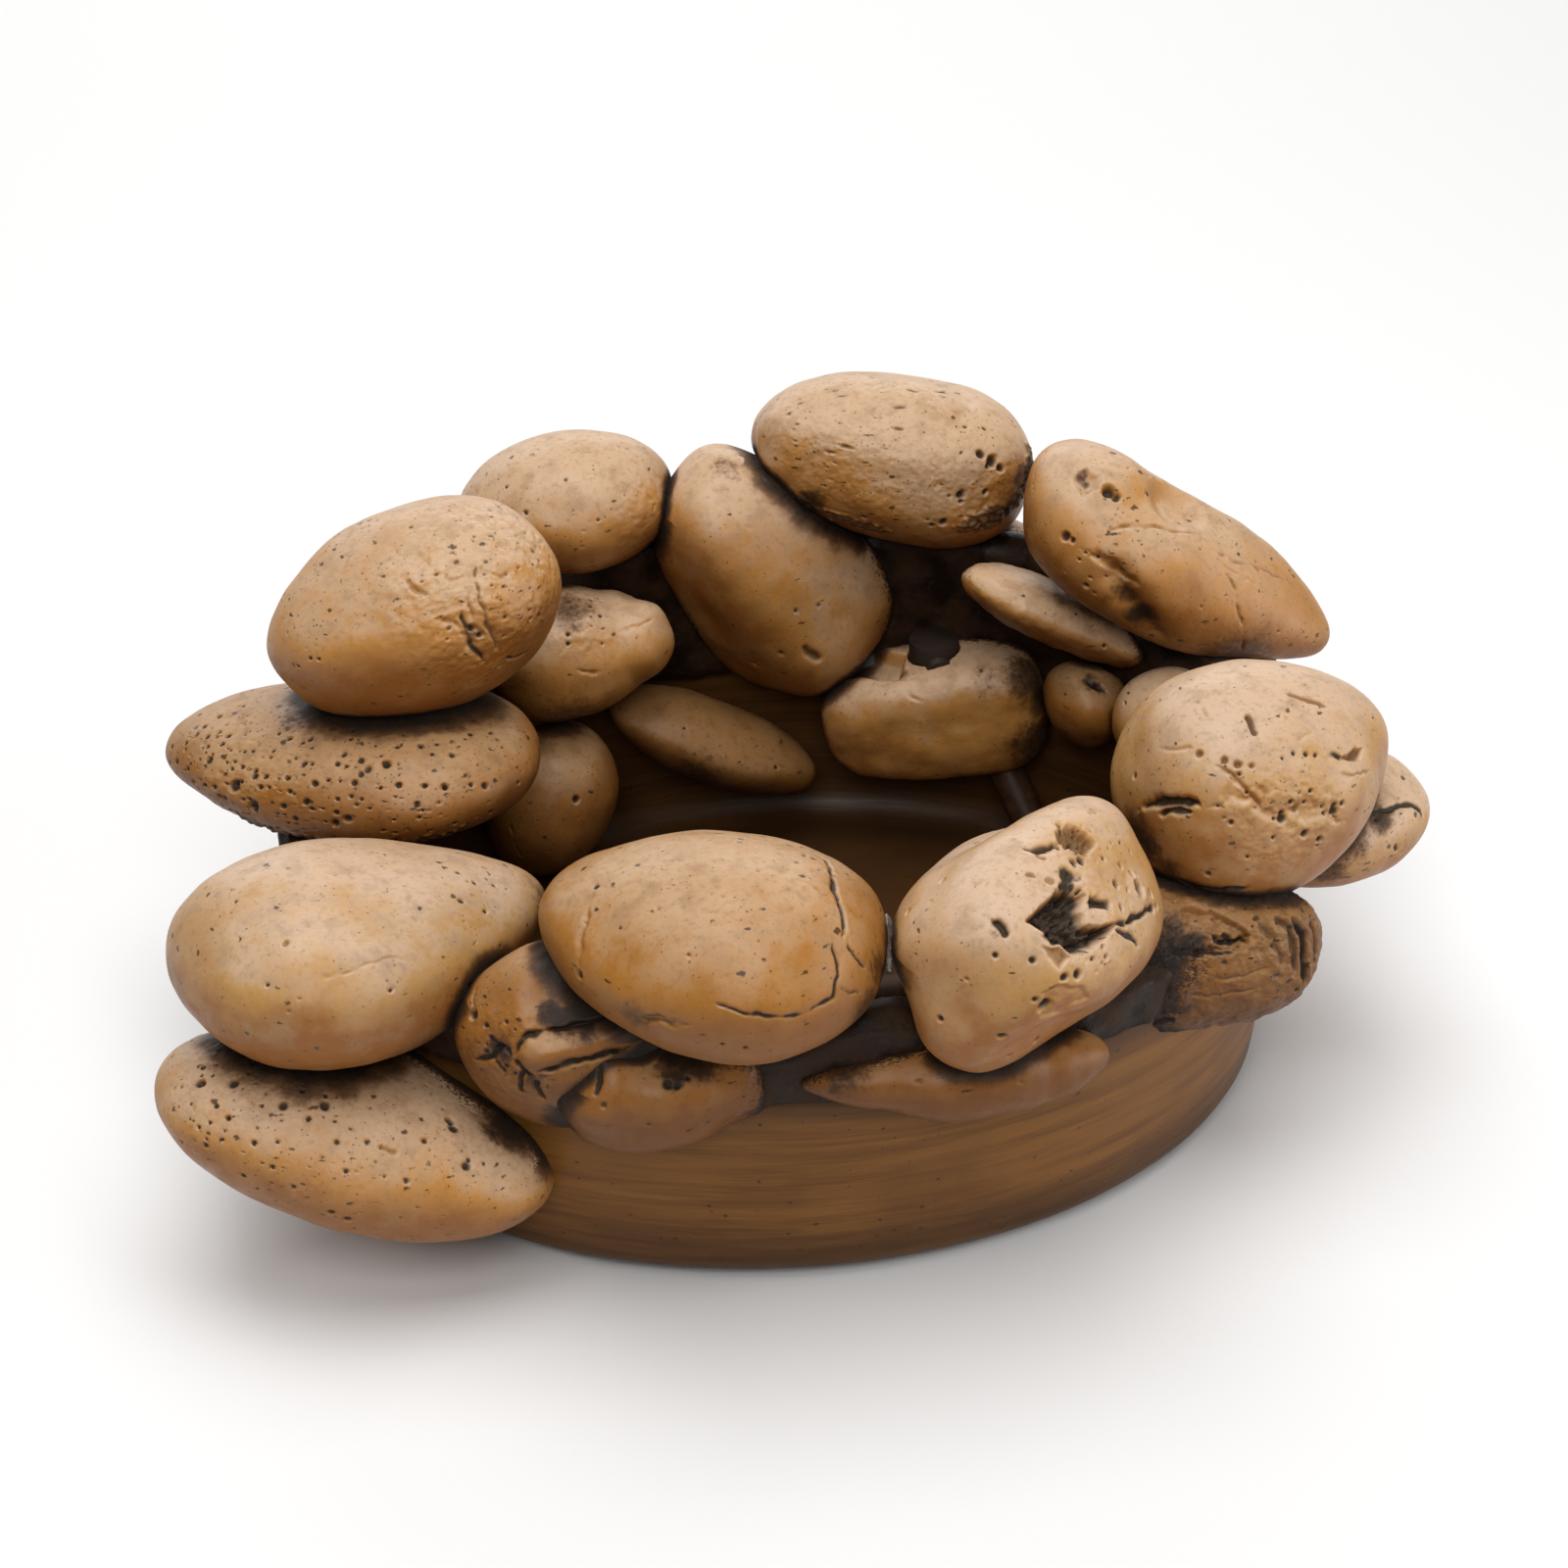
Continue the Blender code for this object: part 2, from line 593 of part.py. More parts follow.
def impeller(name):
    """Magnet, disc and blades in one, with a bore for the shaft."""
    disc_back = MAGNET_FRONT_Y
    disc_front = disc_back + IMPELLER_DISC + 2 * ROTOR_GAP
    tip = disc_front + BLADE_DEPTH
    rotor = along_axis(name, MAGNET_RADIUS, MAGNET_BACK_Y, disc_front, 32)
    disc = along_axis("disc", IMPELLER_RADIUS, disc_front - IMPELLER_DISC, disc_front, 32)
    blades = []
    for index in range(BLADE_COUNT):
        blade = box(
            "blade",
            (SHAFT_RADIUS + 1.2 * MM, disc_front - IMPELLER_DISC / 2 - PUMP_BACK_Y, -BLADE_THICKNESS / 2),
            (IMPELLER_RADIUS - 0.5 * MM, tip - PUMP_BACK_Y, BLADE_THICKNESS / 2),
        )
        spin = Matrix.Rotation(math.tau * index / BLADE_COUNT, 4, "Y")
        blade.data.transform(Matrix.Translation(on_axis()) @ spin)
        blades.append(blade)
    hub = along_axis("impeller_hub", SHAFT_RADIUS + 2 * MM, disc_back, tip)
    rotor = joined(rotor, disc, hub, *blades)
    return carved(rotor, shaft_bore(MAGNET_BACK_Y, tip))


def shaft_bore(start_y, end_y):
    return along_axis("bore", SHAFT_RADIUS + CLEARANCE, start_y - 1 * MM, end_y + 1 * MM)


def bush(name, start_y):
    end_y = start_y + BUSH_LENGTH
    return carved(along_axis(name, BUSH_RADIUS, start_y, end_y), shaft_bore(start_y, end_y))


def intake_cover(name):
    """Cap that slips over the volute, with slots in its front and rails for the gate."""
    wide = VOLUTE_WIDTH / 2 + CLEARANCE
    tall = VOLUTE_HEIGHT / 2 + CLEARANCE
    back = VOLUTE_FRONT_Y - COVER_LAP
    front = COVER_FRONT_Y
    cover = round_edges(
        box(
            name,
            (PUMP_X - wide - COVER_WALL, back, AXIS_Z - tall - COVER_WALL),
            (PUMP_X + wide + COVER_WALL, front, AXIS_Z + tall + COVER_WALL),
        ),
        0.8 * MM, 2,
    )
    rails = []
    for side in (-1, 1):
        middle = AXIS_Z + side * (GATE_HEIGHT / 2 + CLEARANCE + RAIL_SIZE / 2)
        rails.append(box(
            "rail",
            (PUMP_X - wide, front - COVER_WALL / 2, middle - RAIL_SIZE / 2),
            (PUMP_X + wide, front + GATE_THICKNESS + CLEARANCE, middle + RAIL_SIZE / 2),
        ))
    cover = joined(cover, *rails)
    tools = [box(
        "cover_hollow",
        (PUMP_X - wide, back - 1 * MM, AXIS_Z - tall), (PUMP_X + wide, front - COVER_WALL, AXIS_Z + tall),
    )]
    for index in range(SLOT_COUNT):
        x = PUMP_X + (index - (SLOT_COUNT - 1) / 2) * SLOT_PITCH
        tools.append(box(
            "slot",
            (x - SLOT_WIDTH / 2, front - 2 * COVER_WALL, AXIS_Z - SLOT_HEIGHT / 2),
            (x + SLOT_WIDTH / 2, front + 1 * MM, AXIS_Z + SLOT_HEIGHT / 2),
        ))
    return carved(cover, *tools)


def flow_gate(name):
    """Plate that slides across the slots, with a knob."""
    back = COVER_FRONT_Y + CLEARANCE
    front = back + GATE_THICKNESS
    plate = box(
        name,
        (PUMP_X - GATE_WIDTH / 2, back, AXIS_Z - GATE_HEIGHT / 2),
        (PUMP_X + GATE_WIDTH / 2, front, AXIS_Z + GATE_HEIGHT / 2),
    )
    return joined(plate, along_axis("knob", KNOB_RADIUS, front - CLEARANCE, front + KNOB_LENGTH, 16))


def filter_sponge(name):
    back = COVER_FRONT_Y - COVER_WALL - CLEARANCE - SPONGE_LENGTH
    return box(
        name,
        (PUMP_X - VOLUTE_WIDTH / 2, back, AXIS_Z - VOLUTE_HEIGHT / 2),
        (PUMP_X + VOLUTE_WIDTH / 2, back + SPONGE_LENGTH, AXIS_Z + VOLUTE_HEIGHT / 2),
    )


def suction_cup(name, x, y):
    """Cup and stem, turned from a half section."""
    lip = 0.8 * MM
    half_section = (
        (0.0, CUP_HEIGHT + CUP_STEM_LENGTH),
        (CUP_STEM_RADIUS, CUP_HEIGHT + CUP_STEM_LENGTH),
        (CUP_STEM_RADIUS, 0.6 * CUP_HEIGHT),
        (CUP_RADIUS, CLEARANCE + lip),
        (CUP_RADIUS, CLEARANCE),
        (CUP_RADIUS - lip, CLEARANCE),
        (CUP_STEM_RADIUS, 0.3 * CUP_HEIGHT),
        (0.0, 0.35 * CUP_HEIGHT),
    )
    return turned(name, half_section, 20, (x, y, FLOOR_TOP))


def turned(name, half_section, steps, place):
    """A half section, given from the top down its outer side, turned about Z."""
    mesh = bpy.data.meshes.new(name)
    points = [(radius, 0.0, z) for radius, z in half_section]
    mesh.from_pydata(points, [(i, i + 1) for i in range(len(points) - 1)], [])
    obj = bpy.data.objects.new(name, mesh)
    obj.location = place
    screw = obj.modifiers.new("Turn", "SCREW")
    screw.steps = screw.render_steps = steps
    screw.use_merge_vertices = True
    screw.merge_threshold = 0.00005
    return obj


def cord_gland(name):
    """Gland for the cord, with its boot."""
    face = -BLOCK_WIDTH / 2
    middle = BLOCK_LENGTH / 2
    inner = on_axis(face + GLAND_POCKET - CLEARANCE, middle)
    outer = on_axis(face - GLAND_LENGTH, middle)
    tip = on_axis(face - GLAND_LENGTH - GLAND_BOOT_LENGTH, middle)
    root = outer + Vector((1 * MM, 0, 0))
    return joined(
        cylinder(name, GLAND_RADIUS, inner, outer),
        cylinder("boot", GLAND_RADIUS * 0.9, root, tip, tip=GLAND_BOOT_RADIUS),
    )


# ---------------------------------------------------------------- riser tube and spout


def rounded_path(corners, radius, steps=5):
    """The corners' path, each inner corner replaced by an arc-like bend."""
    points = [Vector(corners[0])]
    for before, corner, after in zip(corners, corners[1:], corners[2:]):
        before, corner, after = Vector(before), Vector(corner), Vector(after)
        into = (corner - before).normalized()
        away = (after - corner).normalized()
        bend = into.angle(away)
        reach = radius * math.tan(bend / 2)
        centre = corner + (away - into).normalized() * radius / math.cos(bend / 2)
        arm = corner - into * reach - centre
        axis = into.cross(away).normalized()
        for step in range(steps + 1):
            points.append(centre + Matrix.Rotation(bend * step / steps, 3, axis) @ arm)
    points.append(Vector(corners[-1]))
    return points


def riser_point(rise):
    """A point on the riser's axis, given above the rim's top."""
    return rim_point(RISER_ANGLE, -RISER_IN, rise)


def tube_path(overrun=0.0):
    """Out of the nozzle, down to the floor, along it and up behind the spill stone."""
    nozzle = Vector((NOZZLE_TIP_X, NOZZLE_Y, NOZZLE_Z))
    corners = (
        nozzle - Vector((TUBE_LAP + overrun, 0, 0)),
        nozzle + Vector((TUBE_BEND, 0, 0)),
        (TUBE_RUN_X, NOZZLE_Y, TUBE_RUN_Z),
        (TUBE_RUN_X, TUBE_RUN_END_Y, TUBE_RUN_Z),
        rim_point(KNEE_ANGLE, -KNEE_IN, -KNEE_DROP),
        riser_point(-RISER_FOOT_DROP),
        riser_point(RISER_RISE + overrun),
    )
    return rounded_path(corners, TUBE_BEND)


def pipe(name, points, radius):
    """Round bar along the points, as a mesh."""
    curve = bpy.data.curves.new(name, "CURVE")
    curve.dimensions = "3D"
    curve.bevel_depth = radius
    curve.bevel_resolution = 2
    curve.use_fill_caps = True
    spline = curve.splines.new("POLY")
    spline.points.add(len(points) - 1)
    for knot, point in zip(spline.points, points):
        knot.co = (*point, 1)
    obj = bpy.data.objects.new(name + "_curve", curve)
    bpy.context.scene.collection.objects.link(obj)
    bpy.context.view_layer.update()
    graph = bpy.context.evaluated_depsgraph_get()
    mesh = bpy.data.meshes.new_from_object(obj.evaluated_get(graph))
    bpy.data.objects.remove(obj)
    shape = bmesh.new()
    shape.from_mesh(mesh)
    bmesh.ops.remove_doubles(shape, verts=shape.verts, dist=1e-6)
    return object_from(shape, name)


def riser_tube(name):
    tube = pipe(name, tube_path(), TUBE_RADIUS)
    return carved(tube, pipe("tube_bore", tube_path(1 * MM), TUBE_BORE))


def spout(name, grow=0.0):
    """Elbow on top of the tube whose mouth faces the pool. grow gives its solid envelope."""
    top = RISER_RISE + SOCKET_RADIUS
    foot = riser_point(RISER_RISE - SPOUT_LAP - grow)
    head = riser_point(top + grow)
    elbow = riser_point(top - TUBE_BORE - SPOUT_WALL)
    drop = math.radians(SPOUT_DROP)
    ahead = Vector((0, -math.cos(drop), -math.sin(drop)))
    mouth = elbow + ahead * (SPOUT_MOUTH + grow)
    mouth_radius = TUBE_BORE + SPOUT_WALL / 2
    body = joined(
        cylinder(name, SOCKET_RADIUS + grow, foot, head),
        cylinder("mouth", mouth_radius + grow, elbow, mouth),
    )
    if grow:
        return body
    lap = Vector((0, 0, SPOUT_LAP))
    return carved(
        body,
        cylinder("socket", SOCKET_BORE, foot - lap, foot + lap + Vector((0, 0, CLEARANCE))),
        cylinder("rise", TUBE_BORE * 0.8, foot, elbow),
        cylinder("mouth_bore", TUBE_BORE * 0.8, elbow - ahead * 0.5 * MM, mouth + ahead * 1 * MM),
    )


# ---------------------------------------------------------------- build


def main():
    fountain = collection("tabletop_fountain")
    stone_finish = material("river_stone", (0.45, 0.28, 0.15), 0.5)
    basin_finish = material("basin_resin", (0.22, 0.12, 0.06), 0.5)
    mortar_finish = material("mortar", (0.05, 0.04, 0.03), 0.8)
    pad_finish = material("pad_foam", (0.02, 0.02, 0.02), 0.9)
    pump_finish = material("pump_plastic", (0.015, 0.015, 0.017), 0.45)
    rotor_finish = material("rotor_plastic", (0.05, 0.05, 0.055), 0.5)
    gate_finish = material("gate_plastic", (0.09, 0.09, 0.1), 0.45)
    shaft_finish = material("shaft_ceramic", (0.8, 0.79, 0.75), 0.3)
    rubber_finish = material("rubber", (0.02, 0.02, 0.02), 0.7)
    sponge_finish = material("sponge", (0.03, 0.03, 0.035), 0.95)
    tube_finish = material("tube_vinyl", (0.03, 0.03, 0.03), 0.4)

    link(foot_pad("foot_pad"), fountain, pad_finish)
    link(basin_body("basin"), fountain, basin_finish)
    link(mortar_body("mortar_wall"), fountain, mortar_finish)

    link(motor_block("pump_motor_block"), fountain, pump_finish)
    link(volute("pump_volute"), fountain, pump_finish)
    link(impeller("pump_impeller"), fountain, rotor_finish)
    shaft_back = WELL_BACK_Y - BUSH_LENGTH
    shaft_front = HUB_BACK_Y + BUSH_LENGTH
    link(along_axis("pump_shaft", SHAFT_RADIUS, shaft_back, shaft_front, 16), fountain, shaft_finish)
    link(bush("pump_bush_rear", WELL_BACK_Y - BUSH_LENGTH), fountain, rubber_finish)
    link(bush("pump_bush_front", HUB_BACK_Y), fountain, rubber_finish)
    link(intake_cover("pump_intake_cover"), fountain, pump_finish)
    link(flow_gate("pump_flow_gate"), fountain, gate_finish)
    link(filter_sponge("pump_filter_sponge"), fountain, sponge_finish)
    link(cord_gland("pump_cord_gland"), fountain, rubber_finish)
    for number, (x, y) in enumerate(cup_places(), 1):
        link(suction_cup(f"pump_suction_cup_{number}", x, y), fountain, rubber_finish)
    link(riser_tube("riser_tube"), fountain, tube_finish)
    link(spout("water_spout"), fountain, pump_finish)

    carriers = (
        as_cutter(basin_body("basin_envelope", CLEARANCE)),
        as_cutter(mortar_body("mortar_envelope", CLEARANCE)),
        as_cutter(pipe("tube_envelope", tube_path(), TUBE_RADIUS + CLEARANCE)),
        as_cutter(spout("spout_envelope", CLEARANCE)),
    )
    lay_stones(fountain, stone_finish, carriers)


clear_scene()
CUTTERS = collection("cutters")
main()
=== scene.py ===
"""Looks of the tabletop water fountain: sculpted river stones, brushed basin, mortar and pump."""

import math
import random
from collections import namedtuple

import bmesh
import bpy
import numpy as np
from mathutils import Euler, Matrix, Vector, noise
from mathutils.bvhtree import BVHTree


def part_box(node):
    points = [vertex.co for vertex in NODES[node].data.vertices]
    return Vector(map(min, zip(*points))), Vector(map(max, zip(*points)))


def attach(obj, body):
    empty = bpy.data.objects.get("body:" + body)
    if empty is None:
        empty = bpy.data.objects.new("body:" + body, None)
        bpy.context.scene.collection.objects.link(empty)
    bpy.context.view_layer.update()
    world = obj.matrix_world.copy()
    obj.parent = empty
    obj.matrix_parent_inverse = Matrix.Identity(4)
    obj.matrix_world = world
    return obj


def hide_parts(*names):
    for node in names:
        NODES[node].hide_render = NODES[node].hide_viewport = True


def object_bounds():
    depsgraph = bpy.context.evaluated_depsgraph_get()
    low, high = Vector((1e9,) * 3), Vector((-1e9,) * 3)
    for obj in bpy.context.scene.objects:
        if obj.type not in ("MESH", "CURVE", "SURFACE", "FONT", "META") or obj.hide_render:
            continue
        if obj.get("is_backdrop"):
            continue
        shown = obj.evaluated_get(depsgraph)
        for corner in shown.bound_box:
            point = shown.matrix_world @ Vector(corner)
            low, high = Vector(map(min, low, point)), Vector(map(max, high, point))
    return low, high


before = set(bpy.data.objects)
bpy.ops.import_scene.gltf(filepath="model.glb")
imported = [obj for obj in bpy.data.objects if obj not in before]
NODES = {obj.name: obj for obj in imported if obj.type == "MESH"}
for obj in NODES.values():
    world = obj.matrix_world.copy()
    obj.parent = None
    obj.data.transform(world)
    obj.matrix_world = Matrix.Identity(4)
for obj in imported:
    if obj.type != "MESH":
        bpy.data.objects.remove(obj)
CAD_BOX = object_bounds()

MM = 0.001
# Icosphere subdivisions, and cuts of each edge after them
FINE = ((6, 2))  # the stones seen close up
MIDDLE = ((7, 0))
CLOSE_UP = (
    "front_oval front_pitted right_fissured right_back_saddle back_crown left_top left_flat "
    "left_front_broad left_foot front_left_cracked right_log"
).split()
FRONT = np.array([-0.18, -0.83, 0.53])  # towards the front view

# Sizes of the CAD model that the looks repeat, in mm and degrees
PAD_TOP = 1.8
RIM_LENGTH = 227.0
RIM_DEPTH = 186.0
RIM_TOP = 51.8
BASIN_WALL = 8.0
BASIN_FLOOR = 8.0
BASE_SHRINK = 3.0
BASE_EDGE_RADIUS = 5.0
INNER_FILLET = 9.0
MORTAR_WIDTH = 12.0
MORTAR_FRONT_HEIGHT = 12.0
MORTAR_BACK_HEIGHT = 38.0
MORTAR_RISE = (5, 45)  # degrees behind the +X and -X ends where the wall starts and stops rising
MORTAR_HEAP = (8.0, 270, 9)  # height, angle and spread in degrees, between the front stones
MORTAR_SINK = 1.1  # how far the wall reaches below the top of the rim
GAP = 0.3  # between a tube or spout and the stone around it
NOZZLE_TIP_X = 13.6
NOZZLE_Y = -37.7
NOZZLE_Z = 37.3
TUBE_BORE = 2.9
TUBE_RADIUS = 4.3
TUBE_LAP = 8.0
TUBE_BEND = 10.0
TUBE_RUN_X = 73.5
TUBE_RUN_END_Y = 42.0
TUBE_RUN_Z = 14.4
KNEE_ANGLE = 49.2
KNEE_IN = 11.4
KNEE_DROP = 16.0
RISER_ANGLE = 59.4
RISER_IN = 12.45
RISER_FOOT_DROP = 3.0
RISER_RISE = 7.0
RISER_PASSES = ("inner_spill", "inner_slab", "back_tall", "back_crown")

# Looks
GLUED = (("front_oval", "front_left_cracked"), ("front_pitted", "front_low_ledge"))
GLUE_THREADS = 5  # between each pair
WASH_AND_SHADE_BELOW = 0.2  # how far the dark wash and painted contact shade spread below a resting stone, in mean stone sizes
WASH_AND_SHADE_ABOVE = 0.1
SHARP_EDGE = 32  # degrees above which an edge of a CAD node stays sharp

# The photograph's view and the lights
VIEW_TURN = 12  # degrees to the left of the front
VIEW_LIFT = 32  # degrees above the table
VIEW_DISTANCE = 0.95
VIEW_LENS = 92.98
VIEW_AIM = Vector((0.0061, 0.0314, 0.05))
LIGHT_AIM = Vector((0, 0, 0.05))

# ---------------------------------------------------------------- noise


def lattice(cell, seed, salt):
    """A number from 0 to 1 for each cell of an integer grid."""
    mixed = cell.astype(np.int64)
    value = mixed[..., 0] * 73856093 ^ mixed[..., 1] * 19349663 ^ mixed[..., 2] * 83492791
    value = (value ^ (seed * 2654435 + salt * 97531)) & 0xFFFFFFFF
    value = ((value ^ (value >> 15)) * 2246822519) & 0xFFFFFFFF
    value = ((value ^ (value >> 13)) * 3266489917) & 0xFFFFFFFF
    return (value ^ (value >> 16)) / 0xFFFFFFFF


def smooth_noise(points, size, seed):
    """Gradient noise from about -1 to 1, with features of that size in mm."""
    spot = points / size + 57.3 * seed
    base = np.floor(spot)
    part = spot - base
    ease = part * part * part * (part * (part * 6 - 15) + 10)
    total = np.zeros(len(points))
    for corner in np.ndindex(2, 2, 2):
        cell = base + corner
        turn = lattice(cell, seed, 1) * math.tau
        lift = lattice(cell, seed, 2) * 2 - 1
        flat = np.sqrt(1 - lift * lift)
        away = part - corner
        slope = away[:, 0] * flat * np.cos(turn) + away[:, 1] * flat * np.sin(turn)
        slope += away[:, 2] * lift
        share = np.prod(np.where(np.array(corner), ease, 1 - ease), axis=1)
        total += slope * share
    return total * 1.6


def fractal(points, size, seed, octaves=3):
    """Noise on noise, each half the size and height of the one before."""
    steps = range(int(octaves))
    return sum(smooth_noise(points, size / 2**step, seed + step) / 2**step for step in steps)


def pit_field(points, cell, seed, fill, small, large):
    """Depth from 0 to 1 of scattered round pits. fill is the share of cells that hold one."""
    spot = points / cell + 31.7 * seed
    base = np.floor(spot)
    deepest = np.zeros(len(points))
    for step in np.ndindex(3, 3, 3):
        near = base + step - 1
        centre = near + 0.2 + 0.6 * np.stack([lattice(near, seed, salt) for salt in (3, 4, 5)], 1)
        held = lattice(near, seed, 6) < fill
        radius = small + (large - small) * lattice(near, seed, 7) ** 2
        gap = np.linalg.norm(spot - centre, axis=1) / radius
        deepest = np.maximum(deepest, np.where(held, np.clip(1 - gap**2, 0, 1), 0))
    return deepest


def step_up(value, low, high):
    """0 below low, 1 above high, eased between."""
    share = np.clip((value - low) / (high - low), 0, 1)
    return share * share * (3 - 2 * share)


# ---------------------------------------------------------------- stone shapes

# place: angle round the rim in degrees, then out from it and up from its top, in mm.
# size: length, width and thickness in mm. turn: yaw, pitch and roll in degrees, where pitch
# lifts the +X end and roll lifts the +Y side. egg thins the +X end, box squares the outline,
# and each lump is (yaw, pitch, height as a share, spread in degrees).
Stone = namedtuple("Stone", "name place size turn egg box lumps", defaults=(0.0, 0.0, ()))

STONES = (
    Stone("front_oval", (-108, -3, 35), (75, 63, 41), (-38, 2, -7), egg=-0.13),
    Stone(
        "front_pitted", (-72, -2, 29), (73, 47, 46), (55, -6, -37), egg=0.02, box=0.4,
        lumps=((-160, -55, -0.26, 25), (130, 12, -0.1, 25), (0, 66, -0.23, 30)),
    ),
    Stone("right_fissured", (-25, -1, 31), (65, 54, 50), (20, 5, -1), egg=0.24),
    Stone(
        "right_back_saddle", (25.3, 4.3, 43), (83, 51, 33), (-16, -31, 13), egg=0.35,
        lumps=((104, 38, -0.44, 36),),
    ),
    Stone("back_crown", (67, 0, 55), (67, 48, 38), (-5, -14, -11), egg=-0.13, box=0.2),
    Stone("back_left_cap", (108, 4, 48), (51, 44, 32), (1, 2, -7), egg=-0.1),
    Stone("left_top", (150, -20, 54), (68, 55, 45), (12, 12, -9), egg=-0.12),
    Stone("left_front_broad", (-152, 4, 19), (84, 62, 38), (24, -4, -2), egg=0.34),
    Stone("left_flat", (160, -9, 22), (89, 61, 28), (-31, 5, -3), egg=-0.14),
    Stone("left_foot", (-146, 20, -17), (87, 55, 36), (-14, -16, -6), egg=0.02),
    Stone("front_left_cracked", (-124, -1, 10), (50, 38, 41), (-6, -2, 3), egg=-0.01),
    Stone("front_left_wedge", (-114, 1, 2), (45, 31, 30), (12, -3, 9), egg=0.01),
    Stone("front_low_ledge", (-82, 3, 2), (65, 23, 16), (4, -4, -4), egg=-0.16),
    Stone("right_log", (-44, -3, 2), (58, 34, 31), (4, -2, -8), egg=0.02, box=0.4),
    Stone("right_outer", (-12, 12, 8), (53, 44, 29), (15, -6, 0)),
    Stone("back_outer_right", (58, 11, 16), (58, 30, 40), (-34, 4, 12)),
    Stone("back_outer_middle", (92, 13, 12), (66, 32, 38), (2, -6, 14)),
    Stone("back_outer_left", (124, 12, 14), (60, 34, 42), (32, 6, 12)),
    Stone("right_back_outer", (28, 12, 12), (56, 34, 38), (-60, 8, 10)),
    Stone("back_tall", (83, -6, 28), (70, 43, 43), (14, -56, -15), egg=-0.14, box=0.3),
    Stone("inner_wedge", (112, -14, 18), (42, 36, 31), (-7, 5, -4), egg=0.25),
    Stone("inner_round", (119, -19, -17), (31, 38, 38), (-22, -20, 1), egg=-0.02),
    Stone("inner_sloping", (91.6, -16.5, -13.6), (56, 29, 19), (-5, -26, -7), egg=0.05),
    Stone("inner_spill", (59, -13, -6), (54, 29, 31), (-14, 8, 0), egg=-0.1, box=0.7),
    Stone("inner_slab", (38, -11, 25), (57, 30, 14), (-5, -29, -16), egg=0.22),
    Stone("inner_small", (33, -13, 6), (19, 24, 20), (12, 17, -2), egg=0.13),
    Stone("inner_pebble", (16, -10, 11), (26, 24, 25), (-2, -3, 1)),
)
PEBBLE_NOISE = 0.05
PEBBLE_NOISE_SCALE = 1.4


def rim_point(angle, out=0.0, up=0.0):
    """A point beside the middle of the basin's rim, in mm."""
    turn = math.radians(angle)
    half_length = (RIM_LENGTH - BASIN_WALL) / 2
    half_depth = (RIM_DEPTH - BASIN_WALL) / 2
    point = Vector((half_length * math.cos(turn), half_depth * math.sin(turn), RIM_TOP + up))
    normal = Vector((half_depth * math.cos(turn), half_length * math.sin(turn), 0)).normalized()
    return point + normal * out


def direction(yaw, pitch):
    yaw, pitch = math.radians(yaw), math.radians(pitch)
    level = math.cos(pitch)
    return np.array([level * math.cos(yaw), level * math.sin(yaw), math.sin(pitch)])


def pebble_points(unit, spec, seed):
    """Where points of the unit sphere go on a stone, in mm from its own middle."""
    power = 2 + 2 * spec.box
    reach = (np.abs(unit) ** power).sum(1) ** (-1 / power)
    for yaw, pitch, height, spread in spec.lumps:
        away = np.degrees(np.arccos(np.clip(unit @ direction(yaw, pitch), -1, 1)))
        reach *= 1 + height * np.exp(-((away / spread) ** 2))
    offset = Vector((seed * 7.3, seed * 3.1, seed * 5.7))
    waves = [noise.noise(Vector(row) * PEBBLE_NOISE_SCALE + offset) for row in unit]
    reach *= 1 + PEBBLE_NOISE * np.array(waves)
    points = unit * reach[:, None]
    slim = 1 - spec.egg * points[:, 0]
    points[:, 1] *= slim
    points[:, 2] *= slim
    return points * np.array(spec.size) / 2


def sphere(subdivisions, cuts=0):
    """(unit points, triangles) of an icosphere whose edges are then cut that many times."""
    shape = bmesh.new()
    bmesh.ops.create_icosphere(shape, subdivisions=subdivisions, radius=1)
    if cuts:
        bmesh.ops.subdivide_edges(shape, edges=shape.edges, cuts=cuts, use_grid_fill=True)
        bmesh.ops.triangulate(shape, faces=shape.faces)
    points = np.array([vert.co for vert in shape.verts])
    faces = np.array([[vert.index for vert in face.verts] for face in shape.faces])
    shape.free()
    return points / np.linalg.norm(points, axis=1)[:, None], faces


def normals_of(points, faces):
    corners = points[faces]
    flat = np.cross(corners[:, 1] - corners[:, 0], corners[:, 2] - corners[:, 0])
    total = np.zeros_like(points)
    for corner in range(3):
        np.add.at(total, faces[:, corner], flat)
    return total / np.linalg.norm(total, axis=1)[:, None]


def away_from_line(points, line):
    """(distance, how far along from 0 to 1) of each point from a line of points."""
    nearest = np.full(len(points), 1e9)
    along = np.zeros(len(points))
    pieces = len(line) - 1
    for index in range(pieces):
        start, run = line[index], line[index + 1] - line[index]
        share = np.clip((points - start) @ run / (run @ run), 0, 1)
        gap = np.linalg.norm(points - start - share[:, None] * run, axis=1)
        closer = gap < nearest
        nearest = np.where(closer, gap, nearest)
        along = np.where(closer, (index + share) / pieces, along)
    return nearest, along


